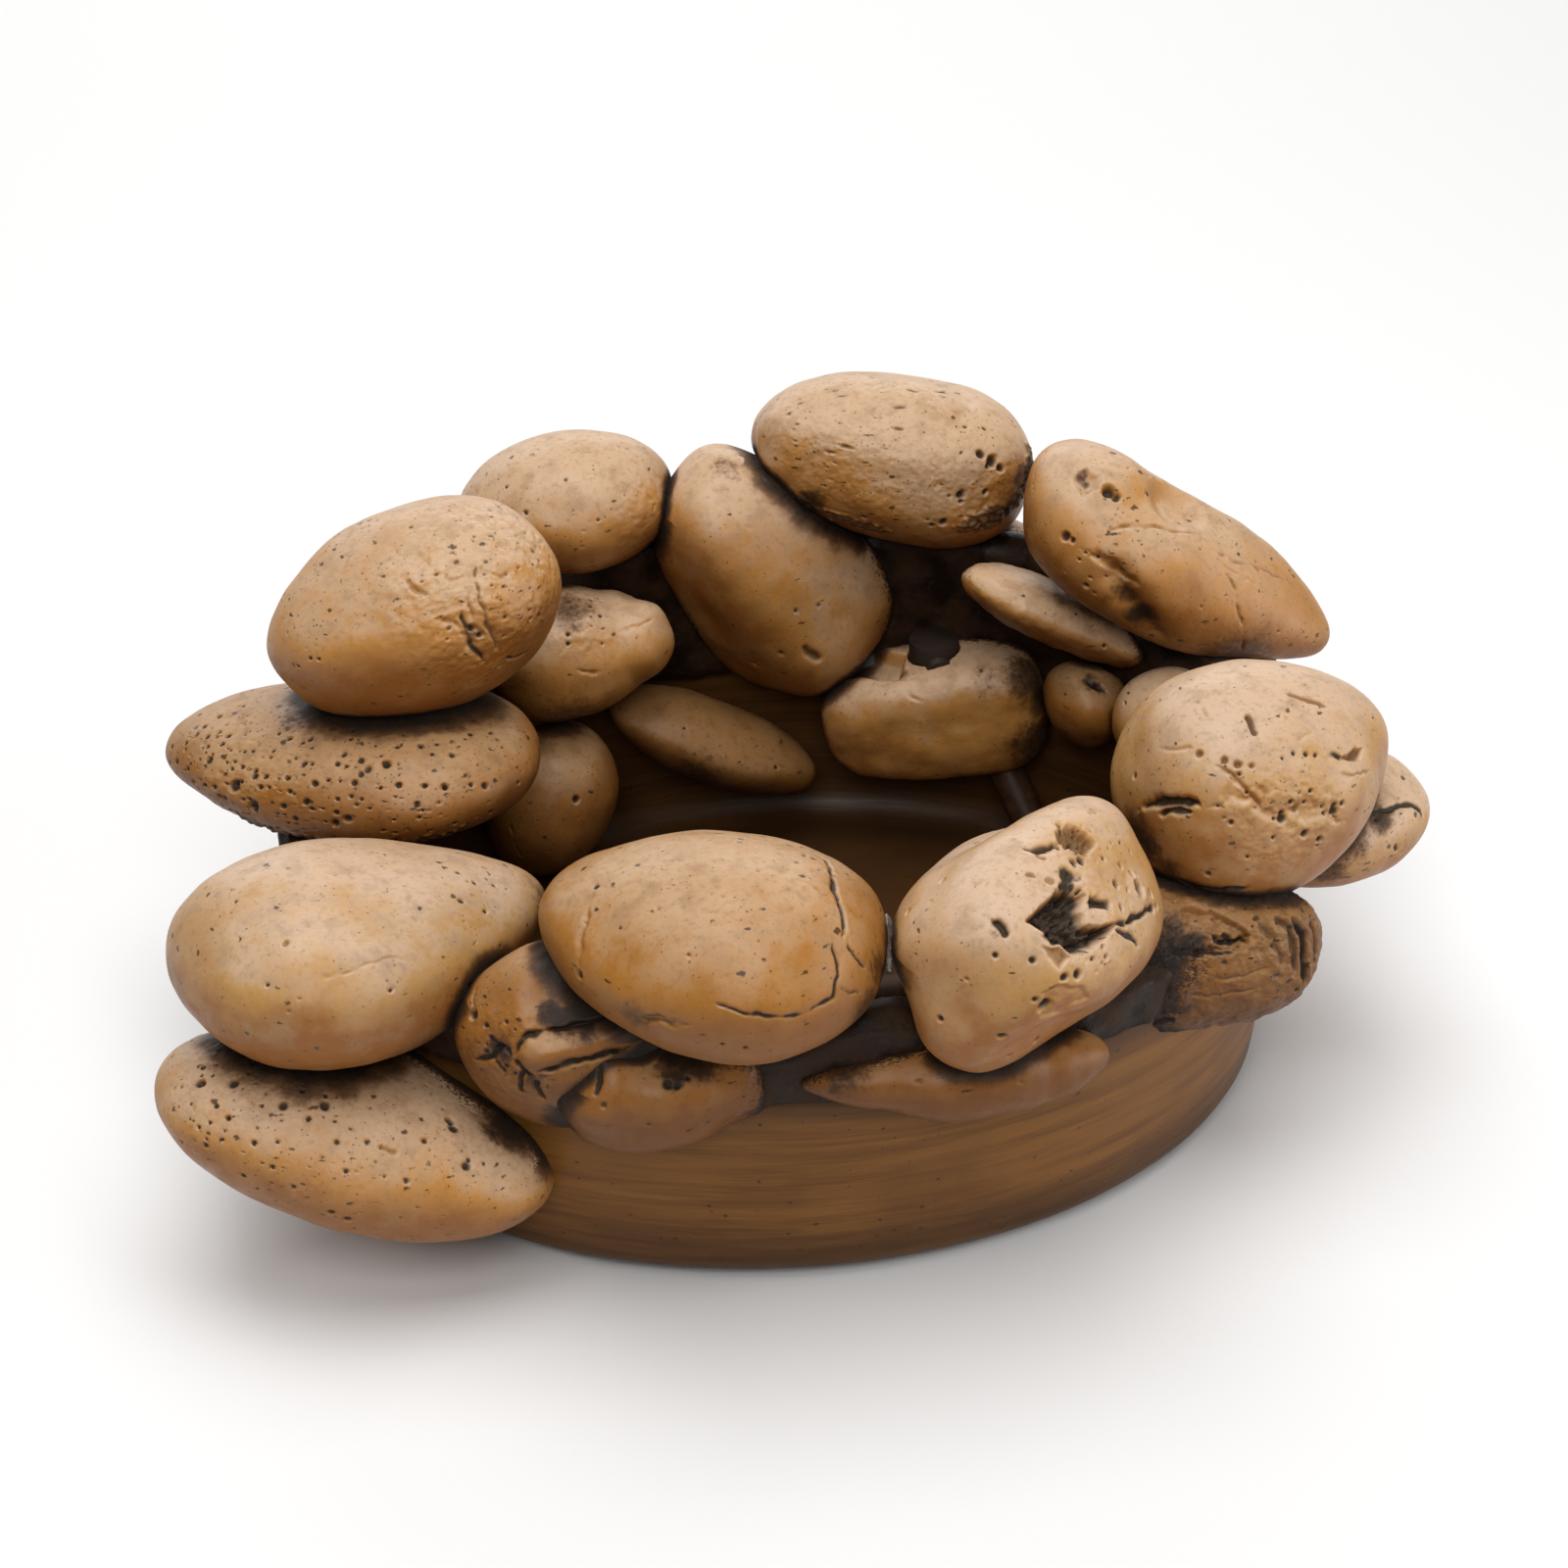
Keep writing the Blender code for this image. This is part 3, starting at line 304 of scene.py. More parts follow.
class Carver:
    """Collects how far each point of a stone sinks, and how dark, rusty and sooty it is there.

    Lengths are in mm. A place is (yaw, pitch) in degrees, as seen from the stone's middle, and
    a spot is (yaw, pitch, radius, amount).
    """

    def __init__(self, spec, seed, unit, faces):
        self.spec = spec
        self.seed = seed
        self.points = pebble_points(unit, spec, seed)
        self.normals = normals_of(self.points, faces)
        self.push = self.scatter(5, 11)
        self.shake = self.scatter(1.7, 14)
        self.swing = 0.75 + 0.35 * smooth_noise(self.points, 4, seed + 5)
        self.sink, self.dark, self.rust, self.soot = np.zeros((4, len(unit)))

    def scatter(self, size, salt):
        """Three waves of noise, to shift points by."""
        waves = [smooth_noise(self.points, size, self.seed + salt + axis) for axis in range(3)]
        return np.stack(waves, 1)

    def at(self, places):
        unit = np.array([direction(*place) for place in places])
        return pebble_points(unit, self.spec, self.seed)

    def warped(self, ragged):
        return self.points + ragged * self.push + 0.35 * ragged * self.shake

    def close(self, points, place, radius, full):
        """1 up to the full share of a radius from a place, falling to 0 at the radius."""
        gap = np.linalg.norm(points - self.at([place])[0], axis=1)
        return 1 - step_up(gap, full * radius, radius)

    def near(self, place, radius):
        return self.close(self.points, place, radius, 0.4)

    def stain(self, share, dark=0.0, rust=0.0, soot=0.0):
        self.dark = np.maximum(self.dark, dark * share)
        self.rust = np.maximum(self.rust, rust * share)
        self.soot = np.maximum(self.soot, soot * share)

    def swell(self, spots):
        """Broad lumps, or hollows where the amount is below 0."""
        for *place, radius, height in spots:
            self.sink -= height * self.near(place, radius)

    def smudge(self, spots):
        """Airbrushed black, thinning out to the radius."""
        points = self.warped(1.5)
        for *place, radius, amount in spots:
            self.stain(self.close(points, place, radius, 0.1), soot=amount)

    def dots(self, spots, ragged=0.35, dark=0.85, rust=0.0):
        """Small pits, as deep as the amount."""
        points = self.warped(ragged)
        for *place, radius, depth in spots:
            share = self.close(points, place, radius, 0.35)
            self.sink += depth * share
            self.stain(share, dark=dark, rust=rust)

    def ridge(self, places, width, height):
        """A smooth band, raised, or sunk where the height is below 0."""
        gap, _ = away_from_line(self.points, self.at(places))
        self.sink -= height * np.exp(-((gap / width) ** 2))

    def crack(self, places, width, depth, ragged=0.8, dark=0.9, rust=0.0):
        """A cut along the places, tapering to its ends."""
        gap, along = away_from_line(self.warped(ragged), self.at(places))
        taper = np.clip(np.minimum(along, 1 - along) * 6, 0.25, 1)
        cut = np.exp(-((gap / (width * self.swing * taper)) ** 2)) * taper
        self.sink += depth * cut
        self.stain(np.clip(1.5 * cut, 0, 1) * min(1, depth * 1.5), dark=dark, rust=rust)

    def crust(self, places, width, height):
        """A gritty black band, like spilt mortar."""
        gap, _ = away_from_line(self.warped(1.4), self.at(places))
        share = 1 - step_up(gap, 0.5 * width, width)
        grit = fractal(self.points, 1.5, self.seed + 70, 2)
        self.sink -= share * height * (0.5 + grit)
        self.stain(share, dark=0.6)

    def cavity(self, places, depth, edge=1.6, ragged=0.9, floor=0.3, dark=1.0, rust=0.0):
        """Sinks the patch inside a ring of places, with broken edges and a rough floor."""
        ring = self.at(places)
        middle = ring.mean(0)
        out = middle / np.linalg.norm(middle)
        across = np.cross(out, (0.31, 0.12, 0.94))
        across /= np.linalg.norm(across)
        basis = np.stack([across, np.cross(out, across)], 1)
        spots = (self.warped(ragged) - middle) @ basis
        ring = (ring - middle) @ basis
        gap, _ = away_from_line(spots, np.vstack([ring, ring[:1]]))
        inside = np.zeros(len(spots), bool)
        for (ax, ay), (bx, by) in zip(ring, np.roll(ring, -1, 0)):
            beside = (ay > spots[:, 1]) != (by > spots[:, 1])
            reach = ax + (spots[:, 1] - ay) / (by - ay + 1e-12) * (bx - ax)
            inside ^= beside & (spots[:, 0] < reach)
        share = step_up(np.where(inside, gap, -gap), -0.35 * edge, 0.65 * edge)
        share *= (self.normals @ out > 0.1) & ((self.points - middle) @ out > -14)
        self.sink += depth * share * (1 + floor * fractal(self.points, 2.6, self.seed + 40))
        self.stain(share, dark=dark, rust=rust)

    def pits(self, places, cell, depth, fill=0.5, radius=30, dark=0.8, small=0.2, large=0.42,
             stretch=(1, 1, 1)):
        """Scattered pits all over, or near the first place."""
        points = (self.points + 0.12 * cell * self.push) * stretch
        field = pit_field(points, cell, self.seed, fill, small, large)
        if places:
            field = field * self.near(places[0], radius)
        self.sink += depth * step_up(field, 0, 0.8)
        self.stain(step_up(field, 0.15, 0.6), dark=dark)

    def rough(self, places, size, height, radius=30, octaves=3):
        """Uneven ground all over, or near the first place."""
        wave = fractal(self.points, size, self.seed + 60, octaves)
        if places:
            wave = wave * self.near(places[0], radius)
        self.sink += height * wave

    def shaped(self):
        return self.points - self.normals * self.sink[:, None]


def weather(carver, seed, spin):
    """Pits and cracks on the sides that the front view doesn't show."""
    chance = random.Random(seed)
    carver.rough([], 14, 0.35, octaves=2)
    for _ in range(14):
        yaw = chance.uniform(-180, 180)
        pitch = math.degrees(math.asin(chance.uniform(-0.8, 0.95)))
        run = [(yaw, pitch)]
        for _ in range(3):
            yaw += chance.uniform(-22, 22)
            pitch = min(80, max(-70, pitch + chance.uniform(6, 16)))
            run.append((yaw, pitch))
        kind = chance.random()
        width, deep = chance.uniform(0.4, 0.8), chance.uniform(0.4, 0.8)
        if max(spin @ direction(*place) @ FRONT for place in run) > -0.1:
            continue
        if kind < 0.45:
            carver.crack(run, width, deep)
        elif kind < 0.8:
            carver.dots([(*place, 1.6 * width, deep) for place in run])
        else:
            carver.pits([run[1]], 2.6, 0.4, 0.5, radius=11)
            carver.rough([run[1]], 2.2, 0.16, radius=12)


def world_matrix(spec):
    """(rotation, middle) of a stone."""
    yaw, pitch, roll = (math.radians(value) for value in spec.turn)
    angle, out, up = spec.place
    spin = np.array(Euler((roll, -pitch, yaw)).to_matrix())
    return spin, np.array(rim_point(angle, out, up))


# ---------------------------------------------------------------- stone marks

# Under each stone's name, one mark to a line: the Carver method, its sizes and options in that
# method's order and names, then after the colon its places or spots. An indented line goes on.
MARKS = """
front_oval
crack 0.75 1: 50 60, 45 47, 25 48, 9 46, -1 37, -8 29, -11 24
crack 0.5 0.6: -5 33, -8 21, -3 6
crack 0.5 0.5: 46 54, 10 63
crack 0.5 0.35 dark=0.3 rust=0.8: -6 60, -2 51, -1 41
crack 0.6 0.65: -12 33, -17 24, -19 13, -23 4, -36 -1, -50 1, -60 6, -70 9
crack 0.4 0.4: -21 6, -15 1, -8 -2
crack 0.9 1.2 ragged=1.4 rust=0.9 dark=0.5: -91 -12, -82 -10, -74 -8
crack 0.6 0.6 ragged=1.4 dark=0.6: -95 -10, -84 -6, -70 -8
crack 1.3 0.6 dark=0.25: -128 37, -121 26, -117 15, -115 2
dots: -115 1 1.3 0.7, -135 45 1 0.4, -54 -20 0.9 0.5, -62 -18 0.8 0.5
dots dark=0.4: -60 60 0.7 0.3, -95 50 0.7 0.3, -20 70 0.8 0.35, -75 30 0.6 0.3
pits 3.4 0.22 0.16 dark=0.35 small=0.08 large=0.2
pits 2.2 0.25 0.45 radius=15 dark=0.5 small=0.12 large=0.26: 0 55
smudge: -92 -13 8 0.6, 4 4 10 0.55, -4 -16 12 0.7
front_pitted
swell: -76 -11 5 0.6
cavity 4.2 edge=1.5 floor=0.6: -136 19, -128 20, -118 20, -110 18, -108 10, -113 6, -115 -1,
  -104 -12, -114 -11, -122 -9, -128 -5, -130 4, -133 12
crack 1.6 2.2 ragged=1.4: -109 7, -104 1, -99 -5
crack 1.5 1.6 ragged=1.6: -134 10, -127 2, -119 -8
crack 1.3 1.4 ragged=1.5: -118 21, -108 22, -102 15
pits 2 0.9 0.7 radius=15 dark=0.9 small=0.25 large=0.5: -116 4
rough 1.6 0.3 radius=11: -120 5
crack 0.9 1.3 rust=0.5: -114 -5, -96 -16, -78 -22, -62 -27
crack 0.8 1: -107 -12, -99 -21, -91 -33
cavity 2.2 edge=1.2 floor=0.6 dark=0.5 rust=1: -93 42, -83 36, -83 28, -84 23, -93 23, -97 31,
  -98 36
crack 1.2 1.4 ragged=1.3 dark=0.75 rust=0.8: -115 48, -111 42, -102 38, -99 32
crack 1.2 0.9 dark=0.3 rust=1: -113 40, -110 35
crack 0.9 0.7 dark=0.3 rust=1: -125 35, -121 32
crack 0.9 0.6 dark=0.2 rust=1: -119 29, -116 24
pits 1.9 0.8 0.7 radius=9 dark=0.7 small=0.25 large=0.5: -92 32
dots: -101 25 1.4 1.1, -97 23 1.5 1.2, -76 -11 2.5 1.8, -75 -3 1.1 0.9, -89 1 1.4 1.1,
  -67 -19 1.3 1, -79 5 1 0.8, -86 15 0.8 0.6, -95 -8 1.1 0.9, -66 -26 1.2 0.9, -84 -6 0.8 0.6,
  -71 -6 0.8 0.6
crack 1.1 1.3 dark=0.8: -149 29, -146 23, -147 18
cavity 1.1 edge=1 dark=0.3 rust=0.7: -135 6, -131 1, -130 -6, -135 -7, -136 1
dots rust=0.7: -142 3 1.2 0.7, -154 14 0.9 0.6, -135 -12 1.1 0.8, -130 -15 1.4 1
dots dark=0.5: -172 11 0.7 0.4, -180 61 1 0.4, 153 49 0.9 0.5
dots rust=0.5: -176 -26 1.6 0.9, 166 -61 1.2 0.8, 163 -2 1 0.6, 164 -46 1 0.7
cavity 0.7 edge=0.9 dark=0.12 rust=0.25: -146 -12, -138 -13, -130 -21, -129 -30, -138 -31, -148 -31,
  -155 -27
dots: -148 -21 2.2 1.5, -150 -14 1 0.6
crack 0.7 0.5 dark=0.3 rust=0.6: -69 23, -70 19
crack 0.7 0.5 dark=0.3 rust=0.6: -68 34, -65 28
pits 2.4 0.45 0.45 radius=15 small=0.12 large=0.34: -78 2
pits 2.2 0.4 0.5 radius=8 small=0.15 large=0.4: -98 26
rough 3 0.12 radius=26: -105 0
smudge: -150 22 6 0.4
right_fissured
crack 0.45 0.4 dark=0.3 rust=0.5: 126 71, 124 80, -58 85
crack 0.5 0.5 dark=0.4 rust=0.5: 170 62, -169 60, -155 56
crack 0.45 0.4 dark=0.4: 138 77, -161 72, -134 64
crack 0.9 1 dark=0.6 rust=0.7: -136 65, -129 59, -123 53
crack 0.8 0.8 dark=0.35 rust=0.9: -72 75, -64 67, -54 53
crack 0.5 0.4 dark=0.3 rust=0.6: 177 35, -170 39, -161 43
dots rust=0.9 dark=0.5: -157 41 1.3 0.8, -143 41 1.2 0.8, -135 40 1.3 0.8, -128 40 0.9 0.5
crack 0.9 0.8 dark=0.3: -149 39, -138 35, -130 28, -122 21
dots: -111 42 0.7 0.5, -103 43 0.8 0.5, -96 41 0.9 0.5, -91 39 0.8 0.5
crack 0.8 0.9: -87 36, -81 34, -77 30
cavity 1.3 edge=1.2 dark=0.5 rust=0.9: -78 31, -66 31, -60 26, -70 24
crack 0.4 0.35 dark=0.4: -99 47, -91 50, -86 50
crack 0.5 0.5 dark=0.4: -87 27, -80 23, -70 17, -62 14
crack 1.4 2 ragged=1: 178 6, -172 15, -162 20, -154 21, -150 23
crack 0.9 1.2: -171 10, -161 16, -154 17
crack 2.4 0.9 ragged=2.2 dark=0.15: -150 22, -138 25, -131 27, -117 20, -106 17, -90 10, -85 0
pits 2.3 0.7 0.6 radius=9 small=0.2 large=0.45: -133 25
pits 2.6 0.9 0.6 radius=12 small=0.2 large=0.45: -108 12
pits 2.4 0.7 0.55 radius=9 small=0.2 large=0.45: -91 3
rough 2.4 0.25 radius=18: -112 14
dots: -115 15 1.5 1.2, -105 4 1.3 1, -98 -3 1.1 0.9, -90 10 1.5 0.9
dots rust=1 dark=0.4: -108 18 1.3 0.8
crack 0.8 1.1: -163 -18, -154 -21, -142 -19, -134 -18, -124 -18
dots: -147 -10 1 0.6, 171 18 0.9 0.5, -131 0 0.7 0.4
pits 3.2 0.25 0.24 dark=0.45 small=0.08 large=0.22
swell: -75 0 14 0.8
smudge: 180 -6 13 0.8, -166 -14 9 0.7
right_back_saddle
swell: -175 44 13 1.4, -150 72 9 -2.6, -80 40 24 1
ridge 3.4 -2.8: -115 15, -107 7, -100 -1, -91 -15
cavity 1.3 edge=1.8 ragged=0.8 dark=0.15: -162 28, -167 36, -163 42, -155 40, -153 31
dots rust=0.4: -153 43 1.9 1.9, -149 45 1.3 1.2
dots: -140 12 1.5 0.9, -137 14 1 0.6, -131 78 0.8 0.5, -155 60 0.8 0.4
crack 0.55 0.6 dark=0.35 rust=0.6: -133 28, -131 40, -129 47, -121 57, -108 64, -92 63
crack 0.5 0.55 dark=0.45 rust=0.5: -92 63, -64 64, -26 62, 4 44
crack 0.35 0.3 dark=0.3 rust=0.5: -88 60, -66 55, -40 50
crack 0.45 0.45 dark=0.7: -76 56, -70 47, -68 30, -63 12, -59 -3
crack 1.5 0.9 ragged=1.2 dark=0.25 rust=0.3: -133 15, -122 20, -113 18, -105 21
pits 2.2 0.5 0.6 radius=8: -128 6
pits 2.2 0.45 0.55 radius=9: -119 13
pits 2.8 0.3 0.3 dark=0.55 small=0.08 large=0.24
smudge: -108 8 6 0.75, -98 -6 8 0.95, -112 0 7 0.5, -162 34 5 0.65, -60 -18 22 0.7, -30 0 14 0.4
back_crown
swell: -86 66 13 1.6, -152 4 11 1.2
dots rust=0.7: -57 22 2 1.3, -62 26 1.5 1, -53 18 1.3 1, -59 19 1 0.8
dots: -64 43 0.9 0.6, -53 42 1 0.6, -69 -1 1.3 1, -68 -5 0.9 0.7, -58 3 1 0.7, -106 -35 1 0.6,
  -72 -22 1.4 0.8, -76 -26 1 0.7
crack 0.8 0.9: -69 5, -69 -3
crust 4 0.7: -24 24, -31 12, -37 -2, -47 -12, -60 -20
crust 2.4 0.5: -140 -34, -126 -40, -110 -46, -95 -42
pits 2.4 0.3 0.6 radius=22 dark=0.55 small=0.12 large=0.36 stretch=0.3/1/1.2: -130 40
pits 2.4 0.3 0.6 radius=20 dark=0.55 small=0.12 large=0.36 stretch=0.3/1/1.2: -80 55
pits 2.6 0.3 0.45 radius=22 dark=0.7 small=0.1 large=0.3: -60 0
pits 2.4 0.25 0.4 radius=26 dark=0.5 small=0.1 large=0.28 stretch=0.35/1/1.2: -110 10
rough 2.2 0.15 radius=34: -110 30
rough 2.5 0.2 radius=20: -60 5
smudge: -131 -31 8 0.8, -44 -10 10 0.7
back_left_cap
crack 0.4 0.35 dark=0.4: -50 30, -40 10, -48 -8
crack 0.35 0.3 dark=0.4: -62 38, -52 22, -56 8
rough 2.2 0.14 radius=16: -45 10
dots: -120 20 0.8 0.4, -95 45 0.8 0.4, -80 10 0.6 0.3, -140 40 0.7 0.4
pits 3.2 0.22 0.2 dark=0.4 small=0.08 large=0.2
left_top
swell: -58 11 14 1.1
crack 0.6 0.7 dark=0.5 rust=0.7: -56 42, -69 30, -73 16, -74 -1, -69 -20
crack 0.8 0.9 dark=0.75 rust=0.5: -80 21, -82 10, -82 -2, -76 -20
crack 0.5 0.5 dark=0.4 rust=0.7: -74 28, -77 15, -78 7, -75 -4
crack 0.5 0.7: -69 -20, -59 -26, -50 -28
crack 1 0.5 ragged=1.4 dark=0.15: -92 20, -86 12, -84 4, -82 -11
crack 0.8 0.6 dark=0.2 rust=0.9: -98 46, -93 39, -89 33
crack 0.9 0.45 dark=0.2 rust=0.7: -78 40, -77 35, -71 33
crack 0.8 0.4 ragged=1.4 dark=0.2 rust=0.6: -66 34, -58 24, -50 22
dots: -80 8 1.3 0.9, -78 2 1 0.8
rough 1.7 0.18 radius=32: -62 22
rough 5 0.3 radius=30 octaves=2: -70 35
pits 2.1 0.35 0.7 radius=30 dark=0.6 small=0.16 large=0.34 stretch=0.7/1/1: -60 22
pits 2.4 0.55 0.6 radius=9: -146 2
pits 3 0.2 0.2 dark=0.4 small=0.08 large=0.2
smudge: -80 4 4 0.5
left_flat
dots: -112 15 1.9 0.9, -104 3 1.8 0.9, -129 26 1.4 0.7, -67 36 1.1 0.7, -64 39 1.3 0.7,
  -73 49 1 0.6, -94 58 1.1 0.6, -56 41 1.4 0.7, -77 -3 1.2 0.8, -73 2 1.3 0.9, -25 13 1.2 0.7,
  -39 21 1 0.6, -28 38 1.1 0.6, -36 49 1.2 0.6, -46 24 0.9 0.6, -120 8 1 0.6
pits 2.3 0.7 0.85 radius=30 dark=1 small=0.2 large=0.42: -112 8
pits 2.5 0.6 0.8 radius=28 dark=1 small=0.18 large=0.38: -72 16
pits 2.7 0.5 0.7 radius=24 dark=0.95 small=0.16 large=0.36: -32 26
pits 2.6 0.5 0.65 radius=24 dark=0.9 small=0.16 large=0.36: -150 30
pits 3.6 0.8 0.55 radius=34 dark=1 small=0.16 large=0.34: -100 14
rough 2.4 0.15 radius=26: -105 5
crust 2.4 0.5: -110 -20, -80 -26, -55 -24, -35 -20
smudge: -122 70 11 0.6, -30 68 12 0.7, -104 2 5 0.4
left_front_broad
dots rust=1 dark=0.3: -150 40 1.1 0.5
dots: -151 22 0.7 0.4, -109 21 0.7 0.4, -61 50 1 0.5, -12 66 0.9 0.4, 170 45 0.7 0.3,
  -40 52 0.9 0.5, -32 60 0.8 0.4, -35 44 0.7 0.4, -58 38 0.8 0.4, -80 4 0.9 0.5
crack 0.5 0.35 dark=0.35 rust=0.3: -140 26, -122 32, -108 35, -100 31
crack 0.4 0.3 dark=0.35: -112 24, -108 32
pits 2.4 0.28 0.36 radius=24 dark=0.6 small=0.08 large=0.22: -60 50
pits 3.2 0.22 0.2 dark=0.45 small=0.08 large=0.2
smudge: -95 -38 20 0.6, -20 -10 16 0.7
left_foot
dots: -156 28 1.6 0.9, -147 39 1.6 0.9, -123 43 1.5 0.7, -110 52 1.8 0.8, -98 35 0.9 0.5,
  -43 56 1.4 0.9, -46 52 1.6 0.6, -52 32 1.3 0.8, -65 45 1 0.6, -92 20 0.8 0.4, -93 -13 1.2 0.7,
  -88 -17 1.4 0.8, -133 23 1 0.5, -50 35 0.8 0.5
crack 0.7 0.6 dark=0.4 rust=0.5: -84 38, -80 37, -76 36
pits 2.2 0.6 0.65 radius=15 dark=0.85: -160 40
pits 2.4 0.45 0.65 radius=28 dark=0.85 small=0.16 large=0.36: -128 34
pits 2.8 0.35 0.45 radius=30 dark=0.75 small=0.12 large=0.3: -70 35
rough 2.2 0.2 radius=20: -155 42
pits 3 0.25 0.25 dark=0.5 small=0.08 large=0.22
smudge: -160 62 9 0.6, -12 44 13 1
front_left_cracked
ridge 3.2 2: -113 19, -99 27, -80 31, -60 33
swell: -98 52 12 -2.2
crack 0.8 1.2: -124 16, -122 24, -118 30, -107 35, -91 39, -75 41, -60 42
crack 0.9 1.7: -117 8, -109 11, -98 15, -86 19, -73 22, -58 23
crack 0.8 1.1: -151 2, -138 10, -133 19, -124 16
crack 0.7 0.8: -145 21, -136 19, -132 17
crack 0.9 1.3: -124 16, -118 11, -112 5
crack 0.8 1: -118 11, -119 -1, -119 -10
crack 0.7 1: -112 5, -109 -3, -107 -12
crack 0.6 0.8 rust=0.4: -138 9, -132 5, -125 3, -119 7
crack 0.5 0.4 dark=0.4: 176 36, -174 31, -163 28
dots: -163 26 1.4 0.9, -150 26 0.9 0.6, -142 12 0.9 0.6, -128 8 0.9 0.6
pits 2 0.35 0.5 radius=15 dark=0.8 small=0.12 large=0.34: -138 12
rough 2.2 0.2 radius=16: -130 8
smudge: -86 50 12 1, -106 45 8 0.9, -133 16 6 0.75, -112 4 5 0.6
front_left_wedge
swell: -32 20 14 4.5, -158 28 13 2, -90 20 14 1.5, -90 78 14 -1.5
dots: -103 40 1.6 0.8, -96 38 1.2 0.6, -88 42 1 0.5
crack 0.7 0.7: -158 44, -150 36, -146 24
crack 0.4 0.3 dark=0.4: -66 10, -62 4, -62 -6
crack 0.35 0.3 dark=0.4: -48 14, -52 4
dots dark=0.6: -140 22 0.9 0.5, -112 10 0.7 0.3, -45 18 0.8 0.4, -60 18 0.6 0.3
crust 1.6 0.4: -36 40, -28 26, -30 10
smudge: -75 66 13 1, -48 56 9 0.9, -96 46 6 0.8
front_low_ledge
swell: -80 -20 22 2.2, -30 10 12 1.5
dots dark=0.4: -110 24 0.7 0.3, -70 12 0.6 0.3
rough 8 0.2 octaves=2
smudge: -100 78 12 0.8, -165 40 13 0.7
right_log
cavity 1.5 edge=1 dark=0.25: -128 40, -114 27, -97 25, -76 21, -72 34, -84 60, -110 62
crack 0.7 1.1: -120 26, -97 25, -75 20
crack 0.8 1.1: -90 42, -88 34, -81 29, -76 32, -73 25
crack 0.6 0.9: -84 40, -80 28
crack 1.3 0.8 ragged=1.2 dark=0.45: -66 46, -62 28, -60 6, -64 -14
crack 1.1 1.1 ragged=1 dark=0.6: -56 44, -52 28, -53 4, -54 -16
crack 1.3 1.9 ragged=0.8 dark=0.9: -46 42, -45 20, -45 -2, -47 -22
crack 0.9 0.9 dark=0.5: -34 34, -35 12, -36 -10
crack 0.9 1.2: -129 -9, -124 -26, -115 -30, -106 -26
crack 1.8 1.2 dark=0.7: -117 17, -114 4, -114 -8
crack 0.6 0.4 dark=0.35: -95 6, -80 2, -66 4
crack 0.6 0.4 dark=0.35: -108 -6, -88 -12, -72 -10
rough 5 0.4 octaves=3
rough 2 0.2
pits 2.4 0.45 0.5 dark=0.7 small=0.12 large=0.34
smudge: -112 42 11 0.7, -125 -6 9 0.8
right_outer
crack 0.8 0.8: -86 41, -69 37, -58 38, -48 32, -45 21, -48 8
crack 0.7 0.7: -72 8, -71 -2
pits 2.8 0.35 0.36 dark=0.6 small=0.1 large=0.28
smudge: -80 34 8 0.8, -112 -5 10 0.7, -98 14 9 0.6
back_tall
crack 0.5 0.4 dark=0.6: -150 28, -140 24, -130 20
crack 0.4 0.3 dark=0.6: -144 16, -134 14
dots: -77 -44 0.9 0.7, -55 -65 1 1, -92 -22 0.8 0.5, -86 -9 0.7 0.4
crack 1.5 0.9 dark=0.6: -76 -33, -70 -30, -64 -28
pits 3.2 0.15 0.12 dark=0.3 small=0.08 large=0.18
smudge: -138 24 7 0.6, -165 20 9 0.5
inner_wedge
swell: -20 12 12 2.5, 18 44 10 1.6
pits 2 0.45 0.6 radius=14: -80 62
rough 2.2 0.2 radius=14: -80 62
crack 0.6 0.4 dark=0.4: -60 40, -30 34, -14 28
crack 0.5 0.4 dark=0.5: -96 14, -80 8, -66 4
smudge: -85 66 12 0.65, -100 -40 18 0.6
inner_round
dots: -60 38 1.3 0.8
crack 0.45 0.45 dark=0.6: -112 6, -103 -8, -90 -22
pits 2.8 0.2 0.24 dark=0.5 small=0.08 large=0.22
inner_spill
cavity 4 edge=1.6 ragged=0.1 floor=0.02 dark=0.1: -165 30, -168 44, -150 54, -129 54, -114 55,
  -125 68, 150 76, 130 50, 160 30
crack 0.5 0.35 dark=0.35: -112 54, -100 40, -88 28
rough 9 0.3 octaves=2
smudge: -114 58 6 0.6, -30 30 15 0.75, -55 40 10 0.45, -35 -20 16 0.8
inner_sloping
dots: -60 20 0.8 0.4, -120 30 0.7 0.3
crack 0.4 0.3 dark=0.5: -70 30, -50 20
smudge: -100 -34 16 0.6
inner_slab
dots: -79 -5 0.8 0.5, -100 30 0.7 0.3
rough 5 0.2
inner_small
cavity 1 edge=1.4: -110 72, -80 66, -55 50, -62 40, -90 55
smudge: -75 60 7 0.6
inner_pebble
dots: -140 21 1.6 1.1, -169 28 0.7 0.5
"""


def read_marks():
    """{stone: [(method, places, sizes, options)]} from MARKS."""
    found = {}
    for line in MARKS.replace("\n  ", " ").split("\n"):
        head, _, tail = line.partition(":")
        method, *words = head.split() or [""]
        if hasattr(Carver, method):
            places = [tuple(map(float, place.split())) for place in tail.split(",") if tail]
            sizes = [float(word) for word in words if "=" not in word]
            options = {}
            for key, values in (word.split("=") for word in words if "=" in word):
                numbers = tuple(map(float, values.split("/")))
                options[key] = numbers if len(numbers) > 1 else numbers[0]
            stone.append((method, places, sizes, options))
        elif method:
            stone = found.setdefault(method, [])
    return found


# ---------------------------------------------------------------- meshes


def linked(name, data):
    """A new object in the scene."""
    obj = bpy.data.objects.new(name, data)
    bpy.context.scene.collection.objects.link(obj)
    return obj


